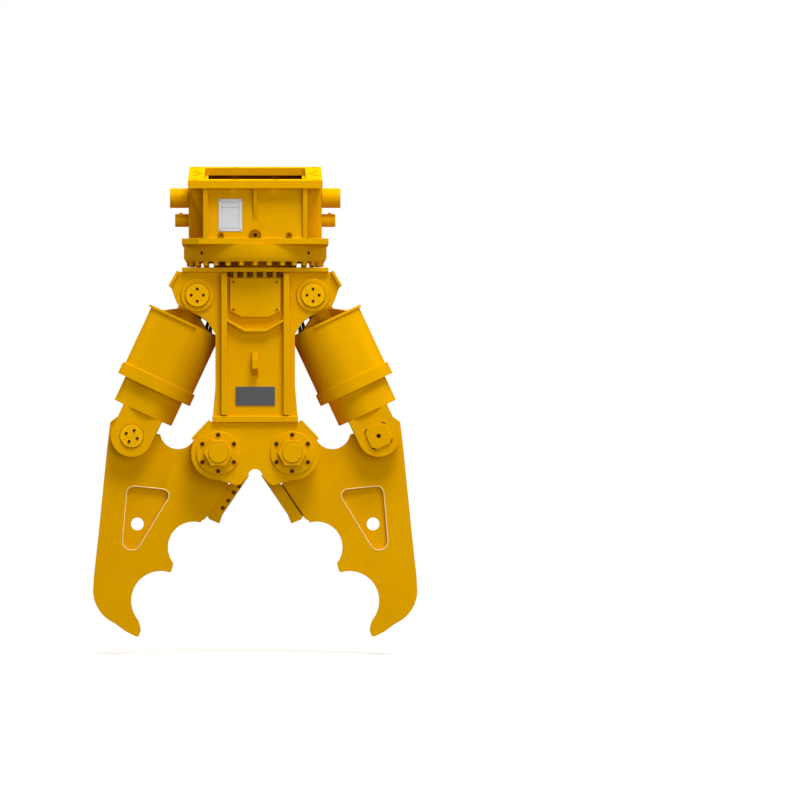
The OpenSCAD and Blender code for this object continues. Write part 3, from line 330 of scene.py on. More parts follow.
def ground_edges(name, body, node, radius, finishes=(yellow, edge_highlight_and_wear), slot="paint", rounds=2, spots=()):
    """The node's own shape with its edges ground round. The first finish is on the faces, the second on
    the edges, and a spot's on each face that lies whole inside it. A spot is a middle, a direction, a
    radius and a finish."""
    flat = math.radians(0.4)
    sharp = math.radians(35)
    same_spot = 0.02 * mm
    bm = bmesh.new()
    bm.from_mesh(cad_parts[node].data)
    bmesh.ops.remove_doubles(bm, verts=bm.verts, dist=same_spot)
    bmesh.ops.dissolve_limit(bm, angle_limit=flat, verts=bm.verts, edges=bm.edges)
    for face in bm.faces:
        face.smooth = True
        face.material_index = 0
    piece = new_piece(name, bm, finishes)
    piece.data.set_sharp_from_angle(angle=sharp)
    rounding = piece.modifiers.new("ground edges", "BEVEL")
    rounding.width = radius
    rounding.segments = rounds
    rounding.limit_method = "ANGLE"
    rounding.angle_limit = sharp
    rounding.harden_normals = True
    rounding.material = 1
    plain(piece)
    for middle, way, reach, spot_finish in spots:
        if spot_finish.name not in piece.data.materials:
            piece.data.materials.append(spot_finish)
        layer = piece.data.materials.find(spot_finish.name)
        apart = [(corner.co - Vector(middle)).cross(way).length for corner in piece.data.vertices]
        for face in piece.data.polygons:
            if max(apart[corner] for corner in face.vertices) < reach:
                face.material_index = layer
    return mount(piece, body, slot, node)


ground_edges("flange", "head", "mounting_flange", radius=3 * mm)


# Head box: side walls, a front wall, a rear plate with two ears, and gussets, all welded between the
# flange and the slew head's base plate.
ground_edges("side_walls", "head", "head_side_walls", radius=2 * mm)
ground_edges("front_wall", "head", "head_front_wall", radius=1.5 * mm)
ground_edges("rear_plate", "head", "head_rear_plate", radius=2.5 * mm)
ground_edges("gussets", "head", "head_gussets", radius=2 * mm)
ground_edges("base_plate", "head", "head_base_plate", radius=3 * mm)


# Weld beads: fillets laid by hand in every corner of the plates, then painted over.
# Each is a rippled bead that follows its seam.
def socket_of(tree, name):
    for item in tree.interface.items_tree:
        if item.item_type == "SOCKET" and item.in_out == "INPUT" and item.name == name:
            return item.identifier
    raise ValueError(name)


def new_tree(name, inputs):
    tree = bpy.data.node_groups.new(name, "GeometryNodeTree")
    tree.interface.new_socket("Geometry", in_out="INPUT", socket_type="NodeSocketGeometry")
    for label, kind in inputs:
        tree.interface.new_socket(label, in_out="INPUT", socket_type=kind)
    tree.interface.new_socket("Geometry", in_out="OUTPUT", socket_type="NodeSocketGeometry")
    return tree, tree.nodes.new("NodeGroupInput"), tree.nodes.new("NodeGroupOutput")


ripple_scale = 190.0
thinnest_share = 0.8
bead_sides = 8
bead_tree, given, result = new_tree("weld_bead", (
    ("Bead radius", "NodeSocketFloat"), ("Ripple pitch", "NodeSocketFloat"),
    ("Ripple depth", "NodeSocketFloat"), ("Paint", "NodeSocketMaterial")))
nodes, links = bead_tree.nodes, bead_tree.links
seam = nodes.new("GeometryNodeMeshToCurve")
steps = nodes.new("GeometryNodeResampleCurve")
steps.mode = "LENGTH"
ripple = nodes.new("ShaderNodeTexNoise")
ripple.inputs["Scale"].default_value = ripple_scale
unevenness = nodes.new("ShaderNodeMath")
unevenness.operation = "MULTIPLY_ADD"
unevenness.inputs[2].default_value = thinnest_share
thickness = nodes.new("GeometryNodeSetCurveRadius")
profile = nodes.new("GeometryNodeCurvePrimitiveCircle")
profile.inputs["Resolution"].default_value = bead_sides
swollen = nodes.new("GeometryNodeInputRadius")
sweep = nodes.new("GeometryNodeCurveToMesh")
sweep.inputs["Fill Caps"].default_value = True
whole = nodes.new("GeometryNodeRealizeInstances")
painted = nodes.new("GeometryNodeSetMaterial")
wire(links, (
    (given, "Geometry", seam, "Mesh"),
    (seam, "Curve", steps, "Curve"),
    (given, "Ripple pitch", steps, "Length"),
    (ripple, "Fac", unevenness, 0),
    (given, "Ripple depth", unevenness, 1),
    (steps, "Curve", thickness, "Curve"),
    (unevenness, "Value", thickness, "Radius"),
    (given, "Bead radius", profile, "Radius"),
    (thickness, "Curve", sweep, "Curve"),
    (profile, "Curve", sweep, "Profile Curve"),
    (swollen, "Radius", sweep, "Scale"),
    (sweep, "Mesh", whole, "Geometry"),
    (whole, "Geometry", painted, "Geometry"),
    (given, "Paint", painted, "Material"),
    (painted, "Geometry", result, "Geometry"),
))


def weld(name, body, seams, radius=4.5 * mm, pitch=5 * mm, depth=0.4, paint=yellow, slot="paint"):
    """One bead along each seam, a list of points; a seam that ends where it starts is a closed ring."""
    same_spot = 0.01 * mm
    bm = bmesh.new()
    for seam in seams:
        points = [bm.verts.new(point) for point in seam]
        for first, second in zip(points, points[1:]):
            bm.edges.new((first, second))
    bmesh.ops.remove_doubles(bm, verts=bm.verts, dist=same_spot)
    piece = new_piece(name, bm, ())
    growth = piece.modifiers.new("bead", "NODES")
    growth.node_group = bead_tree
    for label, value in (("Bead radius", radius), ("Ripple pitch", pitch), ("Ripple depth", depth),
                         ("Paint", paint)):
        growth[socket_of(bead_tree, label)] = value
    plain(piece)
    piece.data.shade_smooth()
    return mount(piece, body, slot)


def line(name, body, seams, radius, paint, slot="paint"):
    """A smooth round line, such as a painted gap shadow, a painted rim highlight or a printed frame."""
    line_step = 10 * mm
    return weld(name, body, seams, radius=radius, pitch=line_step, depth=0.0, paint=paint, slot=slot)


rightward = Vector((1, 0, 0))
rearward = Vector((0, 1, 0))
upward = Vector((0, 0, 1))


def ring(middle, across, up, radius, start=0, turn=360, steps=48):
    """Points round a circle, or a part of one, that lies along two directions."""
    points = []
    for number in range(steps + 1):
        angle = math.radians(start + turn * number / steps)
        points.append(Vector(middle) + radius * (math.cos(angle) * across + math.sin(angle) * up))
    return points


def both_sides(seams):
    return seams + [[(-x, y, z) for x, y, z in seam] for seam in seams]


def front_and_rear(seams):
    return seams + [[(x, -y, z) for x, y, z in seam] for seam in seams]


flange_lean = math.radians(6.72)
flange_tilt = math.tan(flange_lean)
flange_thick = 35 * mm / math.cos(flange_lean)


def under(y):
    """Height of the flange's underside at a place along Y."""
    return flange_tilt * y - flange_thick


wall = 237 * mm
wall_in = 217 * mm
wall_front = -345 * mm
wall_foot_front = -317 * mm
front_wall = -303 * mm
rear_plate_in = 384 * mm
base = -303 * mm
edge = 306.5 * mm
seams = [
    [(wall, wall_foot_front, base), (wall, rear_plate_in, base)],
    [(wall, wall_front, under(wall_front)), (wall, rear_plate_in, under(rear_plate_in))],
    [(wall, rear_plate_in, base), (wall, rear_plate_in, under(rear_plate_in))],
    [(wall_in, front_wall, base), (wall_in, front_wall, under(front_wall))],
]
gusset_places = (-198 * mm, 264 * mm)
gusset_half = 7 * mm
gusset_drop = 159 * mm
gusset_weld_end = edge - 8 * mm
for gusset_y in gusset_places:
    for y in (gusset_y - gusset_half, gusset_y + gusset_half):
        seams.append([(wall, y, under(y) - gusset_drop), (wall, y, under(y)),
                      (gusset_weld_end, y, under(y))])
block_front = -5 * mm
block_rear = 116 * mm
block_foot_rear = 169 * mm
block_corner = 12 * mm
block_flare_drop = 120 * mm
flare_rise = -base - block_flare_drop
flare = block_foot_rear - block_rear
flare_radius = (flare_rise ** 2 + flare ** 2) / (2 * flare)
flare_turn = math.degrees(math.asin(flare_rise / flare_radius))
flare_middle = (wall, block_rear + flare_radius, -block_flare_drop)
flare_seam = ring(flare_middle, -rearward, -upward, flare_radius, turn=flare_turn)
seams.append([(wall, block_front, under(block_front)), (wall, block_front, base),
              (edge - block_corner, block_front, base)])
seams.append([(edge, block_front + block_corner, base), (edge, block_foot_rear, base)])
seams.append([(wall, block_rear, under(block_rear))] + flare_seam + [(edge, block_foot_rear, base)])
seams = both_sides(seams)
seams.append([(-wall_in, front_wall, base), (wall_in, front_wall, base)])
seams.append([(-wall_in, front_wall, under(front_wall)), (wall_in, front_wall, under(front_wall))])
mid_gusset_half = 8 * mm
mid_gusset_drop = 146 * mm
for x in (-mid_gusset_half, mid_gusset_half):
    seams.append([(x, front_wall, under(front_wall) - mid_gusset_drop), (x, front_wall, under(front_wall))])
weld("head_welds", "head", seams)


# Inside of the head: its four walls are lined with a thin dark brown sheet, painted shade that shows
# through the flange's window. The same dark brown is painted shade in sockets, notches and grooves.
shade_paint = finish("painted_shade_brown", colour=written(112, 66, 2), deep=written(96, 54, 0),
                dust=written(128, 84, 18), roughness=0.6)
shade_sheet_clear = 0.1 * mm
shade_sheet_thick = 0.8 * mm
front_wall_in = -291 * mm
walls = 4
bm = bmesh.new()
loops = []
for inset in (shade_sheet_clear, shade_sheet_clear + shade_sheet_thick):
    loop = []
    for x, y in ((-1, front_wall_in + inset), (1, front_wall_in + inset), (1, rear_plate_in - inset),
                 (-1, rear_plate_in - inset)):
        foot = bm.verts.new((x * (wall_in - inset), y, base))
        loop.append((foot, bm.verts.new((x * (wall_in - inset), y, under(y)))))
    loops.append(loop)
for number in range(walls):
    outer, outer_next = loops[0][number - 1], loops[0][number]
    inner, inner_next = loops[1][number - 1], loops[1][number]
    bm.faces.new((outer[0], outer_next[0], outer_next[1], outer[1]))
    bm.faces.new((inner_next[0], inner[0], inner[1], inner_next[1]))
    bm.faces.new((outer[1], outer_next[1], inner_next[1], inner[1]))
    bm.faces.new((outer_next[0], outer[0], inner[0], inner_next[0]))
bmesh.ops.recalc_face_normals(bm, faces=bm.faces)
mount(new_piece("painted_shade_inside", bm, (shade_paint,)), "head", "paint")


# Port blocks and ports: forged blocks on the two side walls carry a large and a small oil port,
# each closed for transport by a turned cap and bled by a small hexagonal plug.
ground_edges("port_blocks_forged", "head", "port_blocks", radius=3 * mm)
ground_edges("port_caps", "head", "swivel_ports", radius=3 * mm, rounds=3)
ground_edges("bleed_plug_heads", "head", "bleed_plugs", radius=1.5 * mm)


# Rear inspection plate, name plates and foot lugs: the inspection plate is screwed on, the name plates
# are grey aluminium with a blank printed frame, and the lugs have dark sockets.
grey_plate = finish("name_plate_grey", colour=written(205, 206, 208), deep=written(196, 198, 202),
                    dust=written(186, 184, 178), roughness=0.42, specular=0.5, grain=1400.0,
                    depth=0.05 * mm)
grey_plate_edge = finish("name_plate_edge", colour=written(170, 171, 174), deep=written(160, 162, 166),
                         dust=written(150, 150, 148), roughness=0.4, specular=0.5, grain=1400.0,
                         depth=0.05 * mm)
ground_edges("inspection_plate", "head", "head_cover_plate", radius=2 * mm)
ground_edges("blank_name_plates", "head", "name_plates", radius=0.8 * mm,
             finishes=(grey_plate, grey_plate_edge), slot="name_plate")
dark_hole = finish("hole_in_shadow", colour=written(70, 38, 4), deep=written(56, 30, 4),
                   dust=written(92, 56, 12), roughness=0.7, metallic=0.0, specular=0.1)
# Brown: the foot lugs' finish, and painted shade on the bearing's rings and in the rings round the pins and
# the nut threads.
lug_and_shade_brown = finish("foot_lug_brown_and_painted_shadow", colour=written(168, 104, 4), deep=written(150, 90, 2),
                   dust=written(176, 124, 24), roughness=0.55)
lug_x = 155 * mm
lug_socket_z = base + 13.5 * mm
middle_socket = 9.8 * mm
side_socket = 5 * mm
sockets = []
for x, radius in ((0.0, middle_socket), (-lug_x, side_socket), (lug_x, side_socket)):
    sockets.append(((x, 0.0, lug_socket_z), rearward, radius, dark_hole))
ground_edges("foot_lugs_turned", "head", "foot_lugs", radius=1.5 * mm, finishes=(lug_and_shade_brown, lug_and_shade_brown),
             spots=sockets)
print_grey = finish("name_plate_print", colour=written(120, 122, 128), deep=written(108, 110, 116),
                    dust=written(130, 130, 128), roughness=0.5, metallic=0.0, specular=0.3)
name_plate_front = -306 * mm
name_plate_rear = 407 * mm
plate_x = -113 * mm
plate_z = -198 * mm
print_left = plate_x - 39 * mm
print_right = plate_x + 39 * mm
print_foot = plate_z - 59 * mm
print_split = plate_z + 34 * mm
print_top = plate_z + 59 * mm
seams = []
for y in (name_plate_front, name_plate_rear):
    seams.append([(print_left, y, print_foot), (print_right, y, print_foot), (print_right, y, print_top),
                  (print_left, y, print_top), (print_left, y, print_foot)])
    seams.append([(print_left, y, print_split), (print_right, y, print_split)])
line("name_plate_frames", "head", seams, radius=0.9 * mm, paint=print_grey, slot="name_plate")


# Screws, bolts and rivets: one pattern of round or six-sided head, with a washer and a socket,
# set wherever the part is screwed or riveted together.
washer_sides = 28
fixing_tree, given, result = new_tree("fixing", (
    ("Sides", "NodeSocketInt"), ("Head radius", "NodeSocketFloat"), ("Head height", "NodeSocketFloat"),
    ("Crown height", "NodeSocketFloat"), ("Crown share", "NodeSocketFloat"),
    ("Socket share", "NodeSocketFloat"), ("Socket depth", "NodeSocketFloat"),
    ("Washer radius", "NodeSocketFloat"), ("Washer height", "NodeSocketFloat"),
    ("Head paint", "NodeSocketMaterial"), ("Socket paint", "NodeSocketMaterial")))
nodes, links = fixing_tree.nodes, fixing_tree.links
head = nodes.new("GeometryNodeMeshCylinder")
head_half = nodes.new("ShaderNodeMath")
head_half.operation = "MULTIPLY_ADD"
head_half.inputs[1].default_value = 0.5
head_up = nodes.new("ShaderNodeCombineXYZ")
head_moved = nodes.new("GeometryNodeTransform")
crown = nodes.new("GeometryNodeExtrudeMesh")
crown_in = nodes.new("GeometryNodeScaleElements")
rim = nodes.new("GeometryNodeExtrudeMesh")
rim.inputs["Offset Scale"].default_value = 0.0
rim_in = nodes.new("GeometryNodeScaleElements")
hole = nodes.new("GeometryNodeExtrudeMesh")
hole_down = nodes.new("ShaderNodeMath")
hole_down.operation = "MULTIPLY"
hole_down.inputs[1].default_value = -1.0
in_hole = nodes.new("FunctionNodeBooleanMath")
in_hole.operation = "OR"
washer = nodes.new("GeometryNodeMeshCylinder")
washer.inputs["Vertices"].default_value = washer_sides
washer_half = nodes.new("ShaderNodeMath")
washer_half.operation = "MULTIPLY"
washer_half.inputs[1].default_value = 0.5
washer_up = nodes.new("ShaderNodeCombineXYZ")
washer_moved = nodes.new("GeometryNodeTransform")
together = nodes.new("GeometryNodeJoinGeometry")
facing = nodes.new("GeometryNodeInputNamedAttribute")
facing.data_type = "FLOAT_VECTOR"
facing.inputs["Name"].default_value = "facing"
turned = nodes.new("FunctionNodeAlignRotationToVector")
turned.axis = "Z"
copies = nodes.new("GeometryNodeInstanceOnPoints")
whole = nodes.new("GeometryNodeRealizeInstances")
painted = nodes.new("GeometryNodeSetMaterial")
socket_painted = nodes.new("GeometryNodeSetMaterial")
wire(links, (
    (given, "Sides", head, "Vertices"),
    (given, "Head radius", head, "Radius"),
    (given, "Head height", head, "Depth"),
    (given, "Head height", head_half, 0),
    (given, "Washer height", head_half, 2),
    (head_half, "Value", head_up, "Z"),
    (head, "Mesh", head_moved, "Geometry"),
    (head_up, "Vector", head_moved, "Translation"),
    (head_moved, "Geometry", crown, "Mesh"),
    (head, "Top", crown, "Selection"),
    (given, "Crown height", crown, "Offset Scale"),
    (crown, "Mesh", crown_in, "Geometry"),
    (crown, "Top", crown_in, "Selection"),
    (given, "Crown share", crown_in, "Scale"),
    (crown_in, "Geometry", rim, "Mesh"),
    (crown, "Top", rim, "Selection"),
    (rim, "Mesh", rim_in, "Geometry"),
    (rim, "Top", rim_in, "Selection"),
    (given, "Socket share", rim_in, "Scale"),
    (rim_in, "Geometry", hole, "Mesh"),
    (rim, "Top", hole, "Selection"),
    (given, "Socket depth", hole_down, 0),
    (hole_down, "Value", hole, "Offset Scale"),
    (hole, "Top", in_hole, 0),
    (hole, "Side", in_hole, 1),
    (given, "Washer radius", washer, "Radius"),
    (given, "Washer height", washer, "Depth"),
    (given, "Washer height", washer_half, 0),
    (washer_half, "Value", washer_up, "Z"),
    (washer, "Mesh", washer_moved, "Geometry"),
    (washer_up, "Vector", washer_moved, "Translation"),
    (hole, "Mesh", together, "Geometry"),
    (washer_moved, "Geometry", together, "Geometry"),
    (facing, "Attribute", turned, "Vector"),
    (given, "Geometry", copies, "Points"),
    (together, "Geometry", copies, "Instance"),
    (turned, "Rotation", copies, "Rotation"),
    (copies, "Instances", whole, "Geometry"),
    (whole, "Geometry", painted, "Geometry"),
    (given, "Head paint", painted, "Material"),
    (painted, "Geometry", socket_painted, "Geometry"),
    (in_hole, "Boolean", socket_painted, "Selection"),
    (given, "Socket paint", socket_painted, "Material"),
    (socket_painted, "Geometry", result, "Geometry"),
))

screw_paint = finish("yellow_paint_on_screws", colour=written(206, 148, 2), deep=written(196, 138, 0),
                     dust=written(190, 140, 24), roughness=0.42, tint=yellow_sheen)


def fixings(name, body, spots, radius, height, sides=24, washer=0.0, washer_height=1.5 * mm, socket=0.55,
            socket_depth=None, head_paint=screw_paint, socket_paint=dark_hole, slot="bare_steel",
            replaced=()):
    """Heads at the given spots, each a (place, facing) pair; the height is the whole head's, and the
    socket is a share of its radius."""
    sharp = math.radians(25)
    crown_share = 0.86
    chamfer_share = 0.18
    least_washer = 0.02 * mm
    chamfer = chamfer_share * height
    lifted = washer_height if washer else least_washer
    bm = bmesh.new()
    for spot, _ in spots:
        bm.verts.new(spot)
    piece = new_piece(name, bm, ())
    ways = piece.data.attributes.new("facing", "FLOAT_VECTOR", "POINT")
    for number, (_, way) in enumerate(spots):
        ways.data[number].vector = way
    growth = piece.modifiers.new("heads", "NODES")
    growth.node_group = fixing_tree
    values = {
        "Sides": sides, "Head radius": radius, "Head height": height - chamfer - lifted,
        "Crown height": chamfer, "Crown share": crown_share, "Socket share": socket,
        "Socket depth": socket_depth or 0.5 * height, "Washer radius": washer or 0.5 * radius,
        "Washer height": lifted, "Head paint": head_paint, "Socket paint": socket_paint,
    }
    for label, value in values.items():
        growth[socket_of(fixing_tree, label)] = value
    plain(piece)
    piece.data.shade_smooth()
    piece.data.set_sharp_from_angle(angle=sharp)
    return mount(piece, body, slot, *replaced)


def set_round(middle, across, up, radius, count, start=0):
    """Places set evenly round a circle, as a flange's screws are."""
    return ring(middle, across, up, radius, start=start, steps=count)[:-1]


screw_head_height = 6 * mm
cover_face = 412 * mm
cover_screw_x = (-180 * mm, 126 * mm)
cover_screw_drops = (85 * mm, 21 * mm)
spots = []
for x in cover_screw_x:
    for drop in cover_screw_drops:
        spots.append(((x, cover_face, under(rear_plate_in) - drop), rearward))
# The screws' sockets are painted dark brown, as painted shade.
fixings("inspection_plate_screws", "head", spots, radius=9 * mm, height=screw_head_height,
        washer=11.5 * mm, socket=0.4, socket_paint=shade_paint, replaced=("head_screws",))
rivet_x = 45.5 * mm
rivet_z = 66 * mm
spots = []
for y, way in ((name_plate_front, -rearward), (name_plate_rear, rearward)):
    for x in (plate_x - rivet_x, plate_x + rivet_x):
        for z in (plate_z - rivet_z, plate_z + rivet_z):
            spots.append(((x, y, z), way))
fixings("name_plate_rivets", "head", spots, radius=4 * mm, height=2 * mm, sides=16, socket=0.3,
        socket_depth=0.6 * mm, head_paint=grey_plate_edge, socket_paint=grey_plate_edge)


# Slewing drive: a turned housing carries the bearing's outer ring on a circle of hexagon bolts. The
# bearing's rings are painted brown, as painted shade between the bolts. The pinion, the motor and the
# rotary joint are plain oiled steel.
oiled_steel = finish("oiled_steel", colour=written(84, 82, 80), deep=written(66, 64, 62),
                     dust=written(104, 92, 70), roughness=0.38, metallic=0.8, specular=0.5, grain=260.0)


def dress(node, steel):
    """Gives its finish to a solid that is shown as it is."""
    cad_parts[node].data.materials.clear()
    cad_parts[node].data.materials.append(steel)


ground_edges("swivel_housing_turned", "head", "swivel_housing", radius=2.5 * mm)
housing_radius = 327.5 * mm
grease_point_z = -369 * mm
grease_point_angles = (42, 138, 222, 318)
spots = []
for angle in grease_point_angles:
    way = Vector((math.cos(math.radians(angle)), math.sin(math.radians(angle)), 0.0))
    spots.append((housing_radius * way + grease_point_z * upward, way))
fixings("grease_points", "head", spots, radius=7.5 * mm, height=3 * mm, socket=0.4, socket_depth=2 * mm,
        head_paint=dark_hole)
ground_edges("slew_motor_case", "head", "slew_motor", radius=4 * mm, finishes=(oiled_steel, oiled_steel),
             slot="dark_steel", rounds=3)
ground_edges("rotary_joint_case", "head", "swivel_stator", radius=3 * mm,
             finishes=(oiled_steel, oiled_steel), slot="dark_steel", rounds=3)
case_screws = 6
motor_top = (0.0, 112 * mm, -140 * mm)
motor_screw_circle = 36 * mm
joint_top = (0.0, 0.0, -180 * mm)
joint_screw_circle = 37 * mm
spots = []
for top, circle in ((motor_top, motor_screw_circle), (joint_top, joint_screw_circle)):
    for place in set_round(top, rightward, rearward, circle, case_screws):
        spots.append((place, upward))
fixings("motor_and_joint_screws", "head", spots, radius=5 * mm, height=5 * mm, head_paint=oiled_steel,
        slot="dark_steel")
dress("slew_ring_outer", lug_and_shade_brown)
dress("slew_ring_gear", lug_and_shade_brown)
dress("slew_pinion", oiled_steel)
dress("swivel_rotor", oiled_steel)
ring_bolts = 30
ring_bolt_half_pitch = 180 / ring_bolts
ring_bolt_circle = 303 * mm
ring_bolt_seat = (0.0, 0.0, -408 * mm)
spots = []
for place in set_round(ring_bolt_seat, rightward, rearward, ring_bolt_circle, ring_bolts,
                       start=ring_bolt_half_pitch):
    spots.append((place, -upward))
fixings("ring_bolts", "head", spots, radius=13 * mm, height=19 * mm, sides=6, washer=14 * mm,
        washer_height=2.5 * mm, socket=0.5, socket_depth=1 * mm, head_paint=yellow, socket_paint=yellow,
        replaced=("slew_ring_bolts",))


# Body: two plates with wings, a box column between them, end guards on the wings, and ribs, V bars
# and ledge bars on the faces, all welded under the turntable plate.
ground_edges("turntable", "frame", "turntable_plate", radius=3 * mm)
ground_edges("body_plates", "frame", "frame_plates", radius=2.5 * mm)
ground_edges("column", "frame", "column_box", radius=2 * mm)
ground_edges("end_guards", "frame", "wing_end_guards", radius=2.5 * mm)
ground_edges("ribs", "frame", "column_ribs", radius=3.5 * mm)
ground_edges("bars", "frame", "face_bars", radius=2.5 * mm)
body_face = 176 * mm
body_in = 148 * mm
body_top = -454 * mm
body_foot = -1141 * mm
column_side = 118 * mm
column_foot = body_foot + 20 * mm
column_foot_end = 182 * mm
rib_in = 129 * mm
rib_out = 155 * mm
rib_top = -465 * mm
rib_foot = -1109 * mm
ledge_top = -1114 * mm
ledge_end = 196 * mm
pivot_face = 184 * mm
bar_end_z = -670 * mm
bar_low_z = -718 * mm
bar_flat = 47 * mm
bar_thick = 11 * mm
lug_half = 13.5 * mm
lug_top = -818 * mm
lug_foot = -929 * mm
turntable_end = 335 * mm
seams = both_sides([
    [(rib_in, -body_face, rib_top), (rib_in, -body_face, rib_foot)],
    [(rib_out, -body_face, rib_top), (rib_out, -body_face, rib_foot)],
    [(rib_out, -body_face, body_top), (turntable_end, -body_face, body_top)],
    [(lug_half, -body_face, lug_top), (lug_half, -body_face, lug_foot)],
    [(column_side, -body_in, body_top), (column_side, -body_in, column_foot)],
    [(column_side, -body_in, column_foot), (column_foot_end, -body_in, column_foot)],
])
seams.append([(-ledge_end, -body_face, ledge_top), (ledge_end, -body_face, ledge_top)])
seams.append([(-ledge_end, -pivot_face, body_foot), (ledge_end, -pivot_face, body_foot)])
for drop in (0.0, bar_thick):
    seams.append([(-rib_in, -body_face, bar_end_z - drop), (-bar_flat, -body_face, bar_low_z - drop),
                  (bar_flat, -body_face, bar_low_z - drop), (rib_in, -body_face, bar_end_z - drop)])
weld("body_welds", "frame", front_and_rear(seams))


# Valve covers, lifting lugs and badge plates: pressed covers screwed over the valves between the
# ribs, welded lugs for lifting, and blank dark badge plates.
badge_grey = finish("badge_grey", colour=written(92, 92, 94), deep=written(84, 84, 87),
                    dust=written(104, 100, 92), roughness=0.5, grain=1200.0, depth=0.08 * mm)
badge_rim = finish("badge_rim", colour=written(112, 112, 114), deep=written(104, 104, 107),
                   dust=written(120, 116, 108), roughness=0.4)
ground_edges("valve_covers_pressed", "frame", "valve_covers", radius=4 * mm, rounds=3)
ground_edges("lifting_lugs_cut", "frame", "lifting_lugs", radius=4 * mm, rounds=3)
ground_edges("blank_badge_plates", "frame", "badge_plates", radius=1.5 * mm,
             finishes=(badge_grey, badge_rim), slot="badge")
valve_cover_face = 206 * mm
valve_screw_x = 99 * mm
valve_screw_heights = (-626 * mm, -501 * mm)
spots = []
for side in (-1, 1):
    for x in (-valve_screw_x, valve_screw_x):
        for z in valve_screw_heights:
            spots.append(((x, side * valve_cover_face, z), side * rearward))
fixings("valve_cover_screws", "frame", spots, radius=7 * mm, height=screw_head_height, socket=0.6,
        replaced=("frame_screws",))
turntable_bolts = 6
turntable_bolt_pitch = 45 * mm
turntable_bolt_y = 190 * mm
spots = []
for side in (-1, 1):
    for number in range(turntable_bolts):
        x = (number - (turntable_bolts - 1) / 2) * turntable_bolt_pitch
        spots.append(((x, side * turntable_bolt_y, body_top), -upward))
# The bolt heads are painted dark brown, as painted shade under the turntable plate.
fixings("turntable_bolt_heads", "frame", spots, radius=13 * mm, height=24 * mm, sides=6, socket=0.5,
        socket_depth=1 * mm, head_paint=shade_paint, socket_paint=shade_paint, replaced=("turntable_bolts",))


# Jaw pivots: thick plates with a lobe round each pin. The pins are turned, headed at the rear, and
# drawn up by a large nut over a flange with six sunk screws at the front.
ground_edges("pivot_plates_cut", "frame", "pivot_plates", radius=3.5 * mm)
ground_edges("shoulder_guards_bent", "frame", "shoulder_guards", radius=2.5 * mm)
pivot_x = 169 * mm
pivot_z = -1282 * mm
centre_hole = 9 * mm
nut_face = -244 * mm
thread_radius = 45 * mm
pivot_flange_face = -200 * mm
pivot_screw_circle = 83 * mm
pivot_screws = 6
first_pivot_screw = 30
centre_holes = []
thread_shadow_rings = []
spots = []
for side in (-1, 1):
    middle = Vector((side * pivot_x, 0.0, pivot_z))
    centre_holes.append((middle, rearward, centre_hole, dark_hole))
    thread_shadow_rings.append(ring(middle + nut_face * rearward, rightward, upward, thread_radius))
    for place in set_round(middle + pivot_flange_face * rearward, rightward, upward, pivot_screw_circle,
                           pivot_screws, start=first_pivot_screw):
        spots.append((place, -rearward))
ground_edges("pivot_pins", "frame", "jaw_pivot_pins", radius=3 * mm, slot="bare_steel", rounds=3,
             spots=centre_holes)
ground_edges("pivot_flanges_turned", "frame", "pivot_flanges", radius=3 * mm)
ground_edges("pivot_nut_heads", "frame", "pivot_nuts", radius=4 * mm, slot="bare_steel", rounds=3)
# A thin brown ring round each nut's thread, painted shadow.
line("thread_gap_shadows", "frame", thread_shadow_rings, radius=1.6 * mm, paint=lug_and_shade_brown)
brown_steel = finish("brown_steel", colour=written(112, 66, 8), deep=written(98, 56, 6),
                     dust=written(120, 80, 24), roughness=0.5)
fixings("pivot_flange_screws", "frame", spots, radius=10 * mm, height=8 * mm, socket=0.62,
        socket_depth=6 * mm, head_paint=brown_steel, replaced=("pivot_bolts",))


# Upper cylinder pins: turned steel pins with welded pads and screwed covers at the front, and notched
# heads at the rear. The covers are painted a lighter yellow than the body.
lighter_yellow = finish("pin_cover_lighter_paint", colour=written(242, 180, 6), deep=written(234, 172, 2),
                      dust=written(224, 170, 30), roughness=0.42, tint=yellow_sheen)
upper_pin_x = 264.5 * mm
upper_pin_z = -560.5 * mm
pin_cover_radius = 55.5 * mm
pin_cover_face = -203 * mm
pin_cover_foot = -190 * mm
pin_pad_radius = 75 * mm
pin_screws = 4
pin_screw_circle = 27.6 * mm
notch_count = 4
first_notch = 45
notch_circle = 72 * mm
notch_radius = 9.5 * mm
cross_reach = 44 * mm
gap_shadow_radius = 1.8 * mm
cross_radius = 2.2 * mm
notches = []
covers = []
cover_gap_shadows = []
pads = []
crosses = []
spots = []
for side in (-1, 1):
    middle = Vector((side * upper_pin_x, 0.0, upper_pin_z))
    for place in set_round(middle, rightward, upward, notch_circle, notch_count, start=first_notch):
        notches.append((place, rearward, notch_radius, shade_paint))
    covers.append((middle, rearward, pin_cover_radius, lighter_yellow))
    cover_gap_shadows.append(ring(middle + pin_cover_foot * rearward, rightward, upward, pin_cover_radius))
    pads.append(ring(middle - body_face * rearward, rightward, upward, pin_pad_radius))
    face = middle + pin_cover_face * rearward
    for turn in (-1, 1):
        way = cross_reach * (rightward + turn * upward).normalized()
        crosses.append([face - way, face + way])
    for place in set_round(face, rightward, upward, pin_screw_circle, pin_screws):
        spots.append((place, -rearward))
# The notches in the pins' heads are painted dark brown, as painted shade.
ground_edges("upper_pin_turned", "frame", "upper_pins", radius=2.5 * mm, spots=notches)
ground_edges("upper_pin_pads", "frame", "upper_pin_covers", radius=3 * mm, rounds=3, spots=covers)
# A brown ring round each cover's rim, painted shadow.
line("upper_pin_gap_shadow_rings", "frame", cover_gap_shadows, radius=gap_shadow_radius, paint=lug_and_shade_brown)
weld("upper_pin_pad_welds", "frame", pads, radius=3.5 * mm)
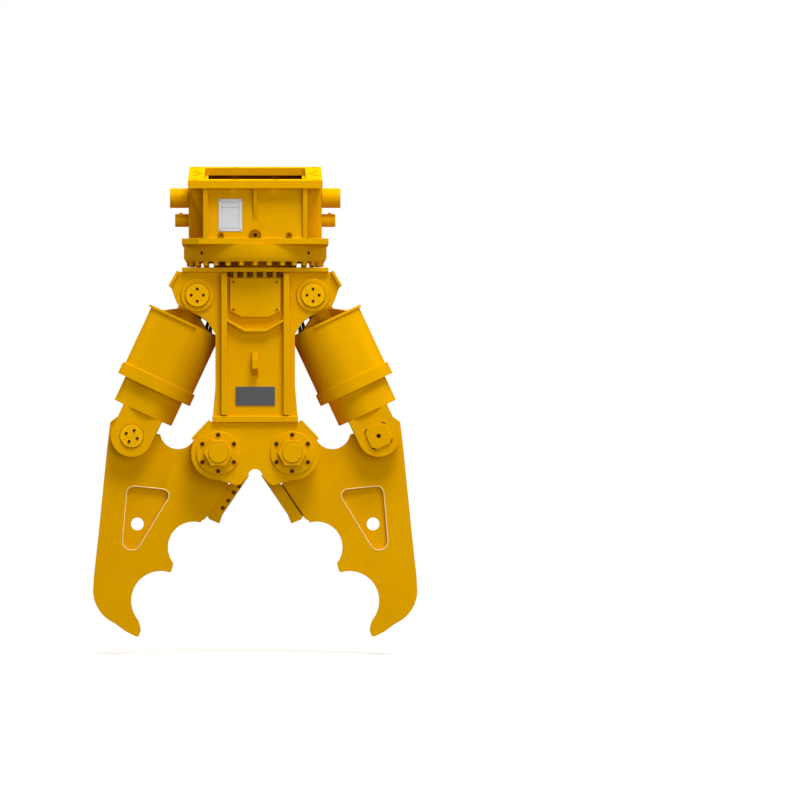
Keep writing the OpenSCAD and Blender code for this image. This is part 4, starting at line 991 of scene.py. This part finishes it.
# The crosses are in the lighter edge yellow, a painted highlight.
line("upper_pin_crosses", "frame", crosses, radius=cross_radius, paint=edge_highlight_and_wear)
fixings("upper_pin_screws", "frame", spots, radius=7 * mm, height=4 * mm, socket=0.7,
        socket_depth=3 * mm, head_paint=brown_steel)


# Hydraulic hoses: four black hoses, 20 mm thick, leave each side wall of the column through steel ends.
# They bend down into the mouth of the guard sleeve and end in their couplings beside the rod.
rubber = finish("black_rubber", colour=written(26, 20, 14), deep=written(16, 12, 10),
                dust=written(46, 36, 22), roughness=0.55, metallic=0.0, specular=0.3)
hose_radius = 10 * mm
hose_end_radius = 12.5 * mm
hose_end_length = 14 * mm
hose_foot = -736 * mm
wall_face = 116 * mm
inner_hose_y = 15 * mm
outer_hose_y = 45 * mm


def hose_route(side, y, height, straight, bend):
    """Straight out of the column's wall, round a quarter of a circle, and down to the coupling."""
    leave = Vector((side * wall_face, y, height))
    bend_middle = leave + side * straight * rightward - bend * upward
    arc = ring(bend_middle, side * rightward, upward, bend, start=90, turn=-90)
    return [leave] + arc + [Vector((arc[-1].x, y, hose_foot))]


hoses = []
hose_ends = []
for side in (-1, 1):
    for y in (-inner_hose_y, inner_hose_y):
        hoses.append(hose_route(side, y, height=-636 * mm, straight=24 * mm, bend=84 * mm))
    for y in (-outer_hose_y, outer_hose_y):
        hoses.append(hose_route(side, y, height=-650 * mm, straight=12 * mm, bend=80 * mm))
for hose in hoses:
    outward = (hose[1] - hose[0]).normalized()
    hose_ends.append([hose[0], hose[0] + hose_end_length * outward])
    hose_ends.append([hose[-1] + hose_end_length * upward, hose[-1]])
line("cylinder_hoses", "frame", hoses, radius=hose_radius, paint=rubber)
line("hose_end_fittings", "frame", hose_ends, radius=hose_end_radius, paint=oiled_steel,
     slot="dark_steel")


# Jaws: each is one thick plate with a hub, an eye, two bites and a lightening pocket on either face.
# A blade is screwed on beside the hub, behind a groove, and cuts past the other jaw's.
# Pale cream, a painted highlight on the pockets' rims.
rim_highlight = finish("pocket_rim_painted_highlight", colour=written(255, 232, 170), deep=written(250, 220, 146),
                  dust=written(240, 206, 124), roughness=0.4)
pocket_corners = ((207 * mm, -172 * mm), (419 * mm, -150 * mm), (456 * mm, -582 * mm))
pocket_slack = 1 * mm
eye_out = 396.5 * mm
eye_up = 77.7 * mm
eye_pad = 90 * mm
hub_radius = 120 * mm
jaw_half = 33 * mm
touching = 0.1 * mm
groove_out = 1.2 * mm
groove_down = -219.5 * mm
groove_way_out = 97 * mm
groove_way_down = -145 * mm
groove_floor = jaw_half - 2.5 * mm
groove_half = 6 * mm
groove_reach = 82 * mm


def beside(out, up, corners):
    """How far a place is outside a convex outline that runs clockwise; less than nothing inside it."""
    far = []
    for number, corner in enumerate(corners):
        along = Vector(corner) - Vector(corners[number - 1])
        step = Vector((out, up)) - Vector(corner)
        far.append(along.normalized().x * step.y - along.normalized().y * step.x)
    return max(far)


for side, hand in (("left", -1), ("right", 1)):
    jaw = side + "_jaw"
    way = Vector((hand * groove_way_out, 0.0, groove_way_down)).normalized()
    groove = Vector((hand * (pivot_x + groove_out), -hand * groove_floor, pivot_z + groove_down))
    ground_edges(side + "_jaw_plate", jaw, jaw, radius=4 * mm, rounds=3,
                 spots=[(groove, way, groove_half, dark_hole)])
    # A dark brown strip lies along each blade's groove, as painted shade.
    line(side + "_groove_shade_strip", jaw, [[groove - groove_reach * way, groove + groove_reach * way]],
         radius=4.5 * mm, paint=shade_paint)
    # A pale cream line round each pocket's rim, a painted highlight.
    highlight_edges = []
    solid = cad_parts[jaw].data
    for crease in solid.edges:
        ends = [solid.vertices[corner].co.copy() for corner in crease.vertices]
        if all(abs(end.y + jaw_half) < touching
               and beside(hand * end.x - pivot_x, end.z - pivot_z, pocket_corners) < pocket_slack
               for end in ends):
            highlight_edges.append(ends)
    line(side + "_pocket_painted_highlights", jaw, highlight_edges, radius=3.2 * mm, paint=rim_highlight)
    ground_edges(side + "_blade_bar", jaw, side + "_blade", radius=2 * mm)
    eye = (hand * (pivot_x + eye_out), -jaw_half, pivot_z + eye_up)
    hub = (hand * pivot_x, -jaw_half, pivot_z)
    weld(side + "_eye_welds", jaw, front_and_rear([ring(eye, rightward, upward, eye_pad)]), radius=4 * mm)
    weld(side + "_hub_welds", jaw, front_and_rear([ring(hub, rightward, upward, hub_radius)]),
         radius=3 * mm)
    dress(side + "_jaw_bush", oiled_steel)
    dress(side + "_blade_bolts", brown_steel)


# Cylinders: the rod hangs from the upper pin inside a guard sleeve, and the barrel, with its clevis
# and lower pin, slides along the rod to turn the jaw.
lean = math.radians(25.06)
cylinder_length = 710.7 * mm
collar_top = 421 * mm
sleeve_radius = 171 * mm
barrel_end = 594.7 * mm
barrel_radius = 144 * mm
cheek_half = 96 * mm
cheek_in = 66 * mm
cheek_out = 125 * mm
face_weld_end = math.sqrt(barrel_radius ** 2 - cheek_out ** 2) - 6 * mm
side_weld_end = math.sqrt(barrel_radius ** 2 - cheek_half ** 2) - 4 * mm
lower_screw_hole = 8 * mm
lower_cover_face = 134 * mm
lower_gap_circle = 55 * mm
keeper_face = 136.5 * mm
keeper_hole = 9.5 * mm
keeper_mark_circle = 62 * mm
keeper_marks = 4
first_keeper_mark = 36
keeper_mark_turn = 18
for side, hand in (("left", -1), ("right", 1)):
    rod = side + "_rod"
    barrel = side + "_barrel"
    top = Vector((hand * upper_pin_x, 0.0, upper_pin_z))
    down = Vector((hand * math.sin(lean), 0.0, -math.cos(lean)))
    across = Vector((math.cos(lean), 0.0, hand * math.sin(lean)))
    lower_pin = top + cylinder_length * down
    ground_edges(side + "_rod_turned", rod, rod, radius=2 * mm, slot="bare_steel")
    ground_edges(side + "_sleeve", rod, side + "_guard_sleeve", radius=2.5 * mm)
    weld(side + "_collar_weld", rod, [ring(top + collar_top * down, across, rearward, sleeve_radius)],
         radius=4 * mm)
    ground_edges(side + "_barrel_turned", barrel, barrel, radius=2.5 * mm)
    ground_edges(side + "_clevis_forged", barrel, side + "_clevis", radius=4 * mm, rounds=3)
    foot = top + barrel_end * down
    seams = [[foot + x * across - cheek_out * rearward for x in (-face_weld_end, face_weld_end)]]
    for x in (-cheek_half, cheek_half):
        seams.append([foot + x * across - y * rearward for y in (cheek_in, side_weld_end)])
    weld(side + "_clevis_welds", barrel, front_and_rear(seams), radius=4 * mm)
    pin_spots = [(lower_pin, rearward, pin_cover_radius, lighter_yellow),
                 (lower_pin, rearward, centre_hole, dark_hole)]
    for place in set_round(lower_pin, rightward, upward, pin_screw_circle, pin_screws,
                           start=hand * math.degrees(lean)):
        pin_spots.append((place, rearward, lower_screw_hole, dark_hole))
    ground_edges(side + "_lower_pin_turned", barrel, side + "_lower_pin", radius=2.5 * mm,
                 spots=pin_spots)
    # A brown ring round the lower pin's cover, painted shadow.
    cover_foot = lower_pin + hand * cheek_out * rearward
    line(side + "_lower_pin_gap_shadow", barrel, [ring(cover_foot, across, down, lower_gap_circle)],
         radius=gap_shadow_radius, paint=lug_and_shade_brown)
    face = lower_pin + hand * lower_cover_face * rearward
    crosses = []
    for turn in (-1, 1):
        cross = cross_reach * (across + turn * down).normalized()
        crosses.append([face - cross, face + cross])
    # The cross is in the lighter edge yellow, a painted highlight.
    line(side + "_lower_pin_cross", barrel, crosses, radius=cross_radius, paint=edge_highlight_and_wear)
    far_cheek = lower_pin - hand * cheek_out * rearward
    # The keeper's marks and the ring round its hole are painted hole shadow.
    marks = []
    for number in range(keeper_marks):
        mark_start = first_keeper_mark + 360 * number / keeper_marks
        marks.append(ring(far_cheek, across, down, keeper_mark_circle, mark_start, keeper_mark_turn))
    marks.append(ring(lower_pin - hand * keeper_face * rearward, across, down, keeper_hole))
    line(side + "_keeper_marks", barrel, marks, radius=5.5 * mm, paint=dark_hole)
    dress(side + "_piston", oiled_steel)
